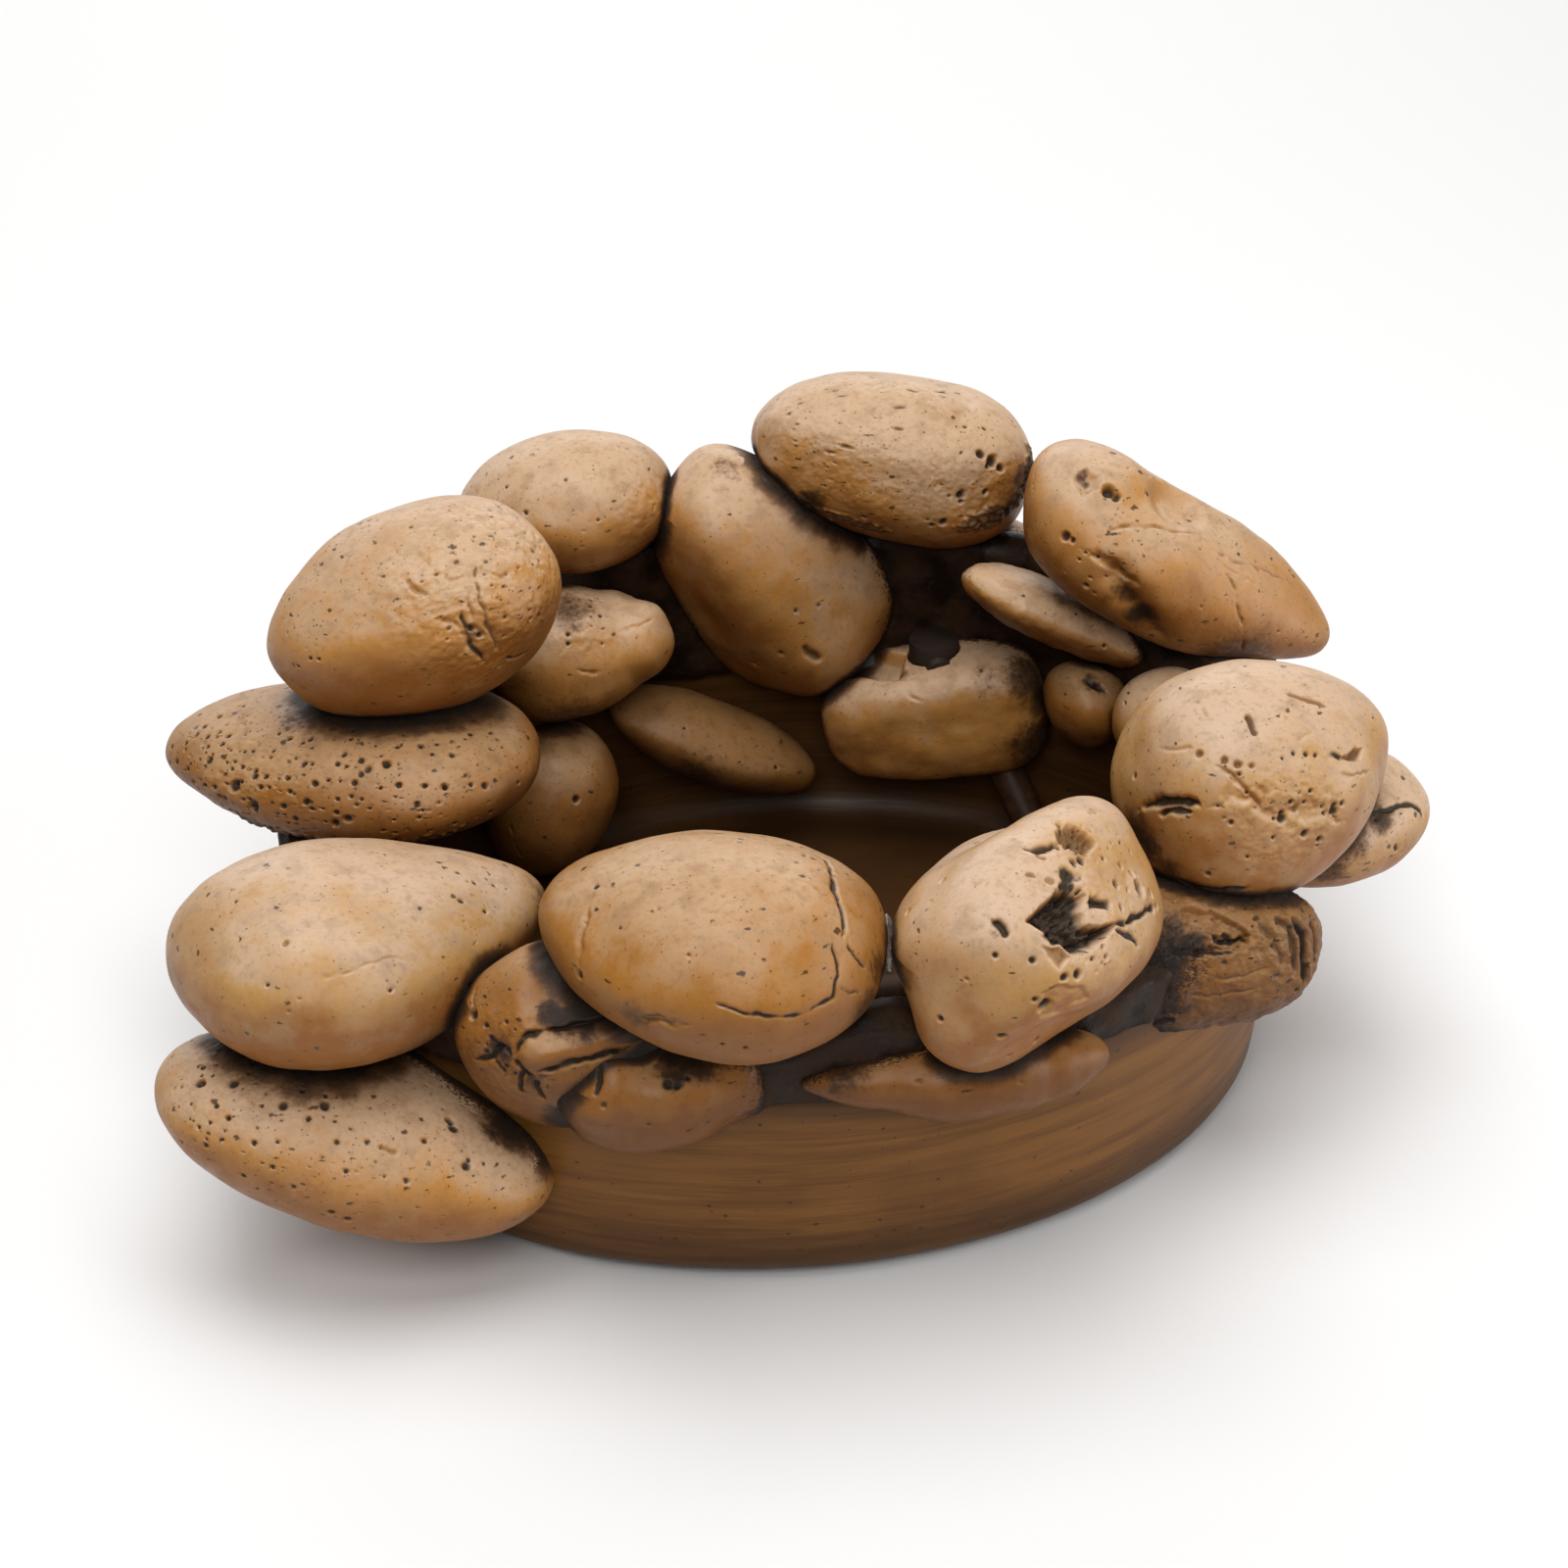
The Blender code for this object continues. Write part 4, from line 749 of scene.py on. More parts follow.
def loose_mesh(name, points, faces):
    """An object from points in mm, which rides on nothing."""
    mesh = bpy.data.meshes.new(name)
    faces = [tuple(map(int, face)) for face in faces]
    mesh.from_pydata((np.asarray(points) * MM).tolist(), [], faces)
    return linked(name, mesh)


def mesh_piece(name, points, faces, finish, slot, replaces=(), body="fountain", **values):
    """A smooth piece from points in mm, with a float attribute for each extra value."""
    obj = loose_mesh(name, points, faces)
    obj.data.materials.append(finish)
    obj.data.polygons.foreach_set("use_smooth", [True] * len(obj.data.polygons))
    for key, value in values.items():
        held = obj.data.attributes.new(key, "FLOAT", "POINT").data
        held.foreach_set("value", value.astype(np.float32))
    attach(obj, body)
    if replaces:
        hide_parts(*replaces)
    return obj


# ---------------------------------------------------------------- materials


def dimmed(colour, share):
    return tuple(value * share for value in colour)


class Finish:
    """A Principled material and short ways to add nodes to it. Lengths are in mm."""

    def __init__(self, name, **constants):
        self.material = bpy.data.materials.new(name)
        self.material.use_nodes = True
        self.tree = self.material.node_tree
        self.shader = self.tree.nodes["Principled BSDF"]
        self.place = self.add("TexCoord").outputs["Object"]
        for key, value in constants.items():
            self.shader.inputs[key.replace("_", " ")].default_value = value

    def add(self, kind, feeds=(), **settings):
        """A new node, with what feeds its inputs, by name or number."""
        node = self.tree.nodes.new("ShaderNode" + kind)
        for key, value in settings.items():
            setattr(node, key, value)
        for key, value in dict(feeds).items():
            self.feed(node.inputs[key], value)
        return node

    def feed(self, socket, value):
        if isinstance(value, bpy.types.NodeSocket):
            self.tree.links.new(value, socket)
        elif isinstance(value, tuple) and len(value) == 3 and socket.type == "RGBA":
            socket.default_value = (*value, 1.0)
        else:
            socket.default_value = value

    def scaled(self, x, y, z):
        return self.add("Mapping", {"Vector": self.place, "Scale": (x, y, z)}).outputs["Vector"]

    def noise(self, size, detail=3.0, rough=0.5, place=None, warp=0.0):
        feeds = {
            "Vector": place or self.place, "Scale": 1000 / size, "Detail": detail,
            "Roughness": rough, "Distortion": warp,
        }
        return self.add("TexNoise", feeds).outputs["Fac"]

    def cells(self, size, place=None):
        return self.add("TexVoronoi", {"Vector": place or self.place, "Scale": 1000 / size})

    def spots(self, size, reach, share, place=None):
        """Ragged dots in that share of the cells of a size: 1 in a dot, else 0."""
        cells = self.cells(size, place)
        chance = self.add("SeparateColor", {0: cells.outputs["Color"]})
        chosen = self.sum("LESS_THAN", chance.outputs[0], share)
        ragged = self.span(self.noise(size / 3, 2), 0.2, 0.8, -0.1, 0.1)
        far = self.sum("ADD", cells.outputs["Distance"], ragged)
        far = self.sum("ADD", far, self.sum("MULTIPLY", chance.outputs[1], 0.6 * reach))
        return self.sum("MULTIPLY", chosen, self.span(far, 0.6 * reach, 1.1 * reach, 1.0, 0.0))

    def value(self, name):
        return self.add("Attribute", attribute_name=name).outputs["Fac"]

    def span(self, value, low, high, start=0.0, end=1.0):
        """value remapped from low..high to start..end, held at both ends."""
        feeds = enumerate((value, low, high, start, end))
        return self.add("MapRange", feeds, interpolation_type="SMOOTHSTEP").outputs["Result"]

    def sum(self, operation, one, other):
        return self.add("Math", {0: one, 1: other}, operation=operation).outputs[0]

    def mix(self, share, one, other):
        return self.add("Mix", {"Factor": share, 6: one, 7: other}, data_type="RGBA").outputs[2]

    def bump(self, height, strength, distance):
        """Adds to the bumps so far."""
        feeds = {"Strength": strength, "Distance": distance * MM, "Height": height}
        so_far = self.shader.inputs["Normal"].links
        if so_far:
            feeds["Normal"] = so_far[0].from_socket
        self.feed(self.shader.inputs["Normal"], self.add("Bump", feeds).outputs["Normal"])

    def done(self, colour, roughness):
        self.feed(self.shader.inputs["Base Color"], colour)
        self.feed(self.shader.inputs["Roughness"], roughness)
        return self.material


def stone_finish(name, shades, pores):
    """Painted cast stone: pale paint with a painted highlight on top, a brown wash with painted
    shade below, and a black wash in the joints and cavities, with painted contact shade in the
    joints.
    """
    light, tone, deep = shades
    f = Finish(name, Specular_IOR_Level=0.2, Coat_Weight=0.18, Coat_Roughness=0.32)
    up, grime, dark, rust, soot = (f.value(key) for key in ("up", "grime", "dark", "rust", "soot"))
    mottle = f.noise(5.5, 4, 0.6)
    fleck = f.noise(1.4, 4, 0.65)
    sway = f.span(f.noise(24, 2), 0, 1, -0.2, 0.2)
    sway = f.sum("ADD", sway, f.span(mottle, 0, 1, -0.14, 0.14))
    rise = f.sum("ADD", up, sway)
    gold = (tone[0] * 0.98, tone[1] * 0.90, tone[2] * 0.60)
    colour = f.mix(f.span(f.noise(34, 2, warp=0.6), 0.42, 0.62), gold, tone)
    # Pale paint with a painted highlight on top, then a brown wash with painted shade below, set by
    # how far each point faces up.
    colour = f.mix(f.span(rise, 0.74, 1.02), colour, light)
    colour = f.mix(f.span(rise, 0.38, 0.84), deep, colour)
    colour = f.mix(f.span(mottle, 0.46, 0.70, 0.0, 0.42), colour, dimmed(tone, 0.62))
    colour = f.mix(f.span(fleck, 0.50, 0.72, 0.0, 0.38), colour, dimmed(tone, 0.5))
    crowd = f.span(f.noise(13, 3, 0.6), 0.40, 0.62, 0.12 * pores, 0.75 * pores)
    fine = f.spots(1.25, 0.28, crowd)
    coarse = f.spots(2.9, 0.26, f.sum("MULTIPLY", crowd, 0.6), f.scaled(0.7, 0.7, 1.25))
    dashes = f.spots(2.4, 0.24, f.sum("MULTIPLY", crowd, 0.7), f.scaled(0.45, 0.6, 1.7))
    holes = f.sum("MAXIMUM", f.sum("MULTIPLY", fine, 0.7), f.sum("MAXIMUM", coarse, dashes))
    colour = f.mix(f.sum("MULTIPLY", holes, 0.9), colour, dimmed(tone, 0.13))
    # The dark wash near resting stones, partly painted contact shade, and the airbrushed black
    # darken the colour.
    haze = f.sum("ADD", grime, f.span(f.noise(8, 5, 0.65), 0, 1, -0.24, 0.24))
    spray = f.sum("ADD", soot, f.span(fleck, 0, 1, -0.2, 0.2))
    haze = f.sum("MAXIMUM", f.span(haze, 0.22, 0.95), f.span(spray, 0.15, 1.05))
    colour = f.mix(f.span(haze, 0, 0.6, 0, 0.8), colour, dimmed(deep, 0.5))
    colour = f.mix(f.span(haze, 0.2, 1, 0, 0.95), colour, (0.018, 0.010, 0.006))
    # A crisp black rim where stones touch: partly dark grit, partly painted contact shadow.
    grit = f.span(f.sum("ADD", grime, f.span(fleck, 0.2, 0.8, -0.3, 0.3)), 0.86, 1.08)
    colour = f.mix(f.span(rust, 0.1, 0.8, 0.0, 0.8), colour, (0.30, 0.135, 0.035))
    black = f.sum("MAXIMUM", f.span(dark, 0.12, 0.85, 0.0, 0.94), grit)
    colour = f.mix(black, colour, (0.013, 0.008, 0.005))
    f.bump(f.noise(0.8, 3, 0.6), 0.25, 0.2)
    f.bump(f.noise(3.2, 4, 0.6), 0.35, 0.45)
    f.bump(holes, -0.7, 0.35)
    f.bump(grit, 0.5, 0.3)
    gloss = f.span(f.noise(4, 3), 0.3, 0.7, 0.40, 0.56)
    dull = f.span(f.sum("MAXIMUM", dark, haze), 0.2, 1, 0, 0.32)
    return f.done(colour, f.sum("ADD", gloss, dull))


# ---------------------------------------------------------------- stones

# (on top, at the side, below) of each kind of stone: pale paint with a painted highlight on top,
# brown wash with painted shade below
PALE = ((0.60, 0.41, 0.27), (0.50, 0.295, 0.140), (0.27, 0.100, 0.020))
ROSE = ((0.55, 0.36, 0.215), (0.48, 0.24, 0.085), (0.25, 0.092, 0.017))
WARM = ((0.50, 0.31, 0.165), (0.38, 0.170, 0.042), (0.22, 0.080, 0.014))
BROWN = ((0.42, 0.24, 0.11), (0.30, 0.128, 0.033), (0.15, 0.053, 0.010))
DEEP = ((0.28, 0.14, 0.05), (0.20, 0.083, 0.019), (0.10, 0.035, 0.006))
LOOKS = {  # shades, how much higher the pale top with its painted highlight reaches down, how many pores
    "front_oval": (WARM, 0, 0.6), "front_pitted": (PALE, 0.05, 0.45),
    "right_fissured": (PALE, 0.06, 0.7), "right_back_saddle": (ROSE, 0.03, 1.0),
    "back_crown": (ROSE, 0.24, 0.9), "back_left_cap": (ROSE, 0.2, 0.6),
    "left_top": (ROSE, 0.04, 1.1), "left_front_broad": (PALE, 0, 0.6),
    "left_flat": (BROWN, 0.05, 2.2), "left_foot": (ROSE, 0.08, 1.3),
    "front_left_cracked": (BROWN, 0, 0.7), "front_left_wedge": (BROWN, -0.05, 0.5),
    "front_low_ledge": (BROWN, -0.08, 0.3), "right_log": (DEEP, 0.1, 1.0),
    "right_outer": (PALE, 0.2, 0.9), "back_tall": (ROSE, 0.2, 0.35),
    "inner_wedge": (ROSE, 0.16, 0.5), "inner_round": (BROWN, 0.08, 0.4),
    "inner_spill": (ROSE, 0.2, 0.35), "inner_slab": (ROSE, 0.2, 0.4),
    "inner_sloping": (DEEP, 0.25, 0.4), "inner_small": (BROWN, 0.1, 0.4),
    "inner_pebble": (ROSE, 0.1, 0.3),
}
PLAIN_LOOK = (ROSE, 0, 0.9)


def lay_stones():
    """Adds the stones, and gives their coarse shapes for what clings to them."""
    unit, coarse_faces = sphere(4)
    placed = []
    for seed, spec in enumerate(STONES):
        spin, middle = world_matrix(spec)
        placed.append(pebble_points(unit, spec, seed) @ spin.T + middle)
    fine, middling = sphere(*FINE), sphere(*MIDDLE)
    marks = read_marks()
    for seed, spec in enumerate(STONES):
        unit, faces = fine if spec.name in CLOSE_UP else middling
        carver = Carver(spec, seed, unit, faces)
        spin, middle = world_matrix(spec)
        weather(carver, seed, spin)
        for method, places, sizes, options in marks.get(spec.name, ()):
            getattr(carver, method)(places, *sizes, **options)
        points = carver.shaped() @ spin.T + middle
        normals = normals_of(points, faces)
        shades, lift, pores = LOOKS.get(spec.name, PLAIN_LOOK)
        # up sets the pale top with its painted highlight and the painted shade below; the dark wash
        # near other stones holds painted contact shade too
        stone = mesh_piece(
            spec.name, points, faces, stone_finish("stone_" + spec.name, shades, pores),
            "river_stone", ["stone_" + spec.name], up=normals[:, 2] * 0.5 + 0.5 + lift,
            grime=wash_and_shade_of(points, seed, placed, coarse_faces),
            dark=np.clip(carver.dark, 0, 1), rust=carver.rust, soot=carver.soot,
        )
        if spec.name in RISER_PASSES:
            bore(stone)
    return placed


def wash_and_shade_of(points, seed, placed, faces):
    """How much dark wash and painted contact shade gather at each point: most just below a stone
    that rests there.
    """
    verts = []
    polygons = []
    for index, other in enumerate(placed):
        if index != seed:
            polygons.extend((faces + len(verts)).tolist())
            verts.extend(map(Vector, other))
    for corners, quads in CARRIERS:
        polygons.extend([[corner + len(verts) for corner in quad] for quad in quads])
        verts.extend(map(Vector, corners))
    tree = BVHTree.FromPolygons(verts, polygons)
    below, above = (share * sum(STONES[seed].size) / 3 for share in (WASH_AND_SHADE_BELOW, WASH_AND_SHADE_ABOVE))
    grime = np.zeros(len(points))
    for index, point in enumerate(points):
        spot, _, _, gap = tree.find_nearest(Vector(point), below)
        if spot is not None:
            reach = below if spot.z > point[2] else above
            grime[index] = max(0, 1 - gap / reach)
    return grime


# ---------------------------------------------------------------- basin and mortar


def arc(centre_x, centre_z, radius, start, end, steps):
    for step in range(steps + 1):
        turn = math.radians(start + (end - start) * step / steps)
        yield centre_x + radius * math.cos(turn), centre_z + radius * math.sin(turn)


def basin_profile():
    rim = RIM_LENGTH / 2
    base = rim - BASE_SHRINK
    inner_rim = rim - BASIN_WALL
    inner_base = base - BASIN_WALL
    bottom, top = PAD_TOP, RIM_TOP
    floor = bottom + BASIN_FLOOR
    lip = BASIN_WALL / 2
    yield 0.0, floor
    yield from arc(inner_base - INNER_FILLET, floor + INNER_FILLET, INNER_FILLET, -90, -8, 12)
    yield inner_base + 0.6 * (inner_rim - inner_base), floor + 0.45 * (top - floor)
    yield from arc(inner_rim + lip, top - lip, lip, 180, 0, 12)
    yield base + 0.75 * (rim - base), bottom + 0.5 * (top - bottom)
    edge = BASE_EDGE_RADIUS
    yield from arc(base - edge, bottom + edge, edge, -5, -90, 12)
    yield 0.0, bottom


def evened(profile, step):
    """The profile with points no further apart than step."""
    made = [profile[0]]
    for point in profile[1:]:
        run = np.array(point) - made[-1]
        count = max(1, math.ceil(np.linalg.norm(run) / step))
        start = np.array(made[-1])
        made.extend(tuple(start + run * share / count) for share in range(1, count + 1))
    return np.array(made)


def ring_faces(rings, around, closed):
    """Quads between rings of points; closed joins the last ring to the first."""
    faces = []
    for ring in range(rings if closed else rings - 1):
        after = (ring + 1) % rings
        for spot in range(around):
            beside = (spot + 1) % around
            here, there = ring * around, after * around
            faces.append((here + spot, there + spot, there + beside, here + beside))
    return faces


def capped_faces(rings, around):
    """Quads between open rings, and fans from the ends to the two points after the rings."""
    faces = ring_faces(rings, around, False)
    first, last, end = rings * around, rings * around + 1, (rings - 1) * around
    for spot in range(around):
        beside = (spot + 1) % around
        faces += [(first, spot, beside), (last, end + beside, end + spot)]
    return faces


def basin():
    around = 256
    profile = evened(list(basin_profile()), 2.0)
    turns = np.arange(around) / around * math.tau
    points = [
        (radius * math.cos(turn), radius * math.sin(turn) * RIM_DEPTH / RIM_LENGTH, height)
        for radius, height in profile[1:-1] for turn in turns
    ]
    points = np.array(points + [(0, 0, profile[0][1]), (0, 0, profile[-1][1])])
    faces = capped_faces(len(profile) - 2, around)
    wave = 0.3 * smooth_noise(points * (1, 1, 1.6), 34, 3) - 0.3
    wave[points[:, 2] < PAD_TOP + 0.2] = 0
    normals = vertex_normals(points, faces)
    points = points + normals * wave[:, None]
    mesh_piece(
        "bowl", points, faces, basin_finish(), "basin_resin", ["basin"],
        shade=basin_shade(points, normals),
    )


def basin_shade(points, normals):
    """Painted shade over the inside and just below the rim."""
    across = np.linalg.norm(points[:, :2], axis=1)
    inward = -(normals[:, :2] * points[:, :2]).sum(1) / np.maximum(across, 1e-9)
    inside = step_up(inward, -0.3, 0.3) * (points[:, 2] > PAD_TOP + 3)
    floor = (normals[:, 2] > 0.7) & (points[:, 2] < RIM_TOP - 5)
    inside = np.maximum(inside, floor)
    depth = step_up(RIM_TOP - points[:, 2], -2, 26)
    under_rim = (1 - step_up(RIM_TOP - points[:, 2], 3, 13)) * (1 - inside)
    return np.maximum(inside * (0.45 + 0.2 * depth), 0.55 * under_rim)


def vertex_normals(points, faces):
    """As normals_of, for faces of any number of corners."""
    total = np.zeros_like(points)
    for face in faces:
        a, b, c = points[face[0]], points[face[1]], points[face[2]]
        flat = np.cross(b - a, c - a)
        for corner in face:
            total[corner] += flat
    return total / np.maximum(np.linalg.norm(total, axis=1), 1e-9)[:, None]


def basin_finish():
    f = Finish("brushed_resin", Specular_IOR_Level=0.22)
    streak = f.noise(30, 5, 0.6, f.scaled(0.6, 0.6, 9))
    fine = f.noise(9, 5, 0.65, f.scaled(0.5, 0.5, 16))
    patch = f.noise(30, 3)
    place = f.add("SeparateXYZ")
    f.feed(place.inputs[0], f.place)
    height = place.outputs["Z"]
    colour = f.mix(f.span(streak, 0.36, 0.66), (0.130, 0.050, 0.009), (0.195, 0.080, 0.015))
    colour = f.mix(f.span(fine, 0.42, 0.70, 0, 0.25), colour, (0.30, 0.140, 0.034))
    colour = f.mix(f.span(patch, 0.5, 0.75, 0, 0.45), colour, (0.090, 0.036, 0.010))
    pits = f.spots(2.6, 0.2, 0.35, f.scaled(0.8, 0.8, 1.2))
    colour = f.mix(f.sum("MULTIPLY", pits, 0.7), colour, (0.03, 0.012, 0.005))
    # Painted shade over the inside of the basin and just below its rim.
    colour = f.mix(f.span(f.value("shade"), 0, 1, 0, 0.93), colour, (0.016, 0.007, 0.004))
    # Painted shade: darker towards the bottom, on the floor inside and round the foot outside.
    low = f.span(f.sum("ADD", height, f.sum("MULTIPLY", streak, 0.012)), 0.009, 0.026, 0.75, 0.0)
    colour = f.mix(low, colour, (0.045, 0.020, 0.008))
    f.bump(fine, 0.25, 0.3)
    f.bump(streak, 0.2, 0.6)
    return f.done(colour, f.span(fine, 0.3, 0.7, 0.34, 0.5))


def mortar_height(angle):
    behind = math.degrees(math.asin(math.sin(math.radians(angle))))
    start, end = MORTAR_RISE
    share = min(max((behind - start) / (end - start), 0), 1)
    high, middle, spread = MORTAR_HEAP
    heap = high * math.exp(-(((angle - middle) / spread) ** 2))
    return MORTAR_FRONT_HEIGHT + (MORTAR_BACK_HEIGHT - MORTAR_FRONT_HEIGHT) * share + heap


def mortar():
    around, turns = 40, 360
    points = []
    half = MORTAR_WIDTH / 2
    corner = half * 0.6
    for turn in range(turns):
        angle = 360 * turn / turns
        high = mortar_height(angle)
        outline = (
            (half, -MORTAR_SINK), (half, high - corner), (half - corner, high),
            (corner - half, high), (-half, high - corner), (-half, -MORTAR_SINK),
            (half, -MORTAR_SINK),
        )
        lengths = np.cumsum([0] + [math.dist(a, b) for a, b in zip(outline, outline[1:])])
        for spot in range(around):
            along = lengths[-1] * spot / around
            out, up = (np.interp(along, lengths, axis) for axis in zip(*outline))
            points.append(rim_point(angle, out, up))
    points = np.array(points)
    faces = ring_faces(turns, around, True)
    normals = vertex_normals(points, faces)
    wave = 0.9 * fractal(points, 9, 4, 2) + 0.5 * fractal(points, 2.6, 8, 2) - 0.4
    seated = points[:, 2] < RIM_TOP - 0.9 * MORTAR_SINK
    points = points + normals * wave[:, None]
    # No light passes between the wall and the rim.
    points[seated, 2] = np.minimum(points[seated, 2], RIM_TOP - 0.8)
    mesh_piece("mortar", points, faces, mortar_finish(), "mortar", ["mortar_wall"])


def mortar_finish():
    f = Finish("dark_mortar", Specular_IOR_Level=0.2)
    grain = f.noise(1.6, 4, 0.65)
    patch = f.noise(8, 3)
    colour = f.mix(f.span(patch, 0.35, 0.65), (0.010, 0.005, 0.003), (0.034, 0.015, 0.006))
    colour = f.mix(f.span(grain, 0.55, 0.8, 0, 0.4), colour, (0.08, 0.045, 0.022))
    f.bump(grain, 0.6, 0.5)
    f.bump(f.noise(4.5, 3), 0.5, 1.0)
    return f.done(colour, f.span(patch, 0.35, 0.65, 0.35, 0.65))


# ---------------------------------------------------------------- resin, tube and pump


def blob(line, radii, seed, steps=24, around=20):
    """A closed lumpy drop along a line of points: (points, faces)."""
    ahead = np.array(line[-1]) - line[0]
    side = np.cross(ahead, (0.3, 0.9, 0.2))
    side /= np.linalg.norm(side)
    other = np.cross(ahead, side)
    other /= np.linalg.norm(other)
    points = []
    for step in range(1, steps):
        share = step / steps
        marks = np.linspace(0, 1, len(line))
        place = np.array([np.interp(share, marks, axis) for axis in np.transpose(line)])
        radius = np.interp(share, marks, radii) * math.sqrt(math.sin(math.pi * share))
        for spot in range(around):
            turn = math.tau * spot / around
            points.append(place + radius * (math.cos(turn) * side + math.sin(turn) * other))
    points = np.array([*points, line[0], line[-1]])
    faces = [face[::-1] for face in capped_faces(steps - 1, around)]
    points += 0.12 * np.stack([smooth_noise(points, 1.8, seed + salt) for salt in (1, 2, 3)], 1)
    return points, faces


def closest_spots(one, other):
    """The nearest point of each of two clouds of points to the other."""
    gaps = np.linalg.norm(one[:, None] - other[None], axis=2)
    here, there = np.unravel_index(gaps.argmin(), gaps.shape)
    return one[here], other[there]


def resin(placed):
    """Clear glue: a web between the two front stones, and threads where stones meet."""
    clear = clear_resin()
    clouds = dict(zip((spec.name for spec in STONES), placed))
    left, right = closest_spots(clouds["front_oval"], clouds["front_pitted"])
    middle = (left + right) / 2
    web = [middle + (0, 2.5, 5.5), middle + (0, 0.5, 0), middle + (0, -1.5, -6.5)]
    mesh_piece("glue_web", *blob(web, (1.6, 1.3, 1.9), 3), clear, "mortar")
    chance = random.Random(5)
    all_points, all_faces = [], []
    for name, other in GLUED:
        here, there = closest_spots(clouds[name], clouds[other])
        side = np.cross(there - here + 1e-6, FRONT)
        side /= np.linalg.norm(side) + 1e-9
        for count in range(GLUE_THREADS):
            shift = side * (count - 2) * chance.uniform(1.6, 2.6)
            size = chance.uniform(0.35, 0.6)
            run = [here + shift, (here + there) / 2 + shift + FRONT * 0.6, there + 1.4 * shift]
            points, faces = blob(run, (1.5 * size, size, 1.5 * size), count, 10, 10)
            start = sum(map(len, all_points))
            all_faces += [tuple(corner + start for corner in face) for face in faces]
            all_points.append(points)
    mesh_piece("glue_beads", np.vstack(all_points), all_faces, clear, "mortar")


def clear_resin():
    f = Finish("clear_glue", Transmission_Weight=0.85, IOR=1.5)
    cloud = f.noise(2.2, 3)
    colour = f.mix(f.span(cloud, 0.4, 0.65), (0.55, 0.45, 0.34), (0.80, 0.74, 0.66))
    f.bump(cloud, 0.3, 0.4)
    return f.done(colour, f.span(f.noise(1.1, 2), 0.3, 0.7, 0.08, 0.28))


def rounded_path(corners, radius):
    """The corners' path, each inner corner replaced by an arc."""
    steps = 12
    points = [Vector(corners[0])]
    for before, corner, after in zip(corners, corners[1:], corners[2:]):
        before, corner, after = Vector(before), Vector(corner), Vector(after)
        into = (corner - before).normalized()
        away = (after - corner).normalized()
        bend = into.angle(away)
        centre = corner + (away - into).normalized() * radius / math.cos(bend / 2)
        arm = corner - into * radius * math.tan(bend / 2) - centre
        axis = into.cross(away).normalized()
        for step in range(steps + 1):
            points.append(centre + Matrix.Rotation(bend * step / steps, 3, axis) @ arm)
    points.append(Vector(corners[-1]))
    return points


def tube_points():
    nozzle = Vector((NOZZLE_TIP_X, NOZZLE_Y, NOZZLE_Z))
    riser = Vector(rim_point(RISER_ANGLE, -RISER_IN))
    corners = (
        nozzle - Vector((TUBE_LAP, 0, 0)),
        nozzle + Vector((TUBE_BEND, 0, 0)),
        Vector((TUBE_RUN_X, NOZZLE_Y, TUBE_RUN_Z)),
        Vector((TUBE_RUN_X, TUBE_RUN_END_Y, TUBE_RUN_Z)),
        Vector(rim_point(KNEE_ANGLE, -KNEE_IN, -KNEE_DROP)),
        riser - Vector((0, 0, RISER_FOOT_DROP)),
        riser + Vector((0, 0, RISER_RISE)),
    )
    return rounded_path(corners, TUBE_BEND)


def swept(path, profile, around=40):
    """(points, faces) of rings along a path. profile gives each (index, shift along, radius)."""
    path = np.array([tuple(point) for point in path])
    runs = np.gradient(path, axis=0)
    runs /= np.linalg.norm(runs, axis=1)[:, None]
    side = np.cross(runs[0], (0, 0, 1.0))
    sides = []
    for run in runs:
        side = side - run * (side @ run)
        side /= np.linalg.norm(side)
        sides.append(side)
    turns = (np.arange(around) / around * math.tau)[:, None]
    rings = []
    for index, shift, radius in profile(len(path)):
        run, side = runs[index], sides[index]
        ring = radius * (np.cos(turns) * side + np.sin(turns) * np.cross(run, side))
        rings.append(path[index] + run * shift + ring)
    faces = ring_faces(len(rings), around, True)
    points = np.vstack(rings)
    normals = vertex_normals(points, faces)
    if ((points[:around] - path[0]) * normals[:around]).sum() < 0:
        faces = [face[::-1] for face in faces]
    return points, faces


def tube_profile(count):
    """Up the outside, over the end, and back down the bore, with softened ends."""
    soft = 0.35
    yield 0, 0.0, TUBE_RADIUS - soft
    yield 0, soft, TUBE_RADIUS
    for index in range(1, count - 1):
        yield index, 0.0, TUBE_RADIUS
    yield count - 1, -soft, TUBE_RADIUS
    yield count - 1, 0.0, TUBE_RADIUS - soft
    yield count - 1, 0.0, TUBE_BORE + soft
    yield count - 1, -soft, TUBE_BORE
    for index in range(count - 2, 0, -1):
        yield index, 0.0, TUBE_BORE
    yield 0, soft, TUBE_BORE
    yield 0, 0.0, TUBE_BORE + soft


def envelope_profile(count):
    """A solid round bar, ends closed almost to a point."""
    yield 0, 0.0, 0.01
    yield 0, 0.0, TUBE_RADIUS + GAP
    for index in range(1, count):
        yield index, 0.0, TUBE_RADIUS + GAP
    yield count - 1, 0.0, 0.01


def riser_tube():
    f = Finish("vinyl_tube", Specular_IOR_Level=0.2)
    scuff = f.noise(3, 4, 0.6)
    colour = f.mix(f.span(scuff, 0.4, 0.7), (0.030, 0.013, 0.006), (0.050, 0.022, 0.010))
    f.bump(f.noise(1.2, 2), 0.1, 0.2)
    points, faces = swept(tube_points(), tube_profile)
    finish = f.done(colour, f.span(scuff, 0.3, 0.7, 0.42, 0.6))
    mesh_piece("tube", points, faces, finish, "tube_vinyl", ["riser_tube"])


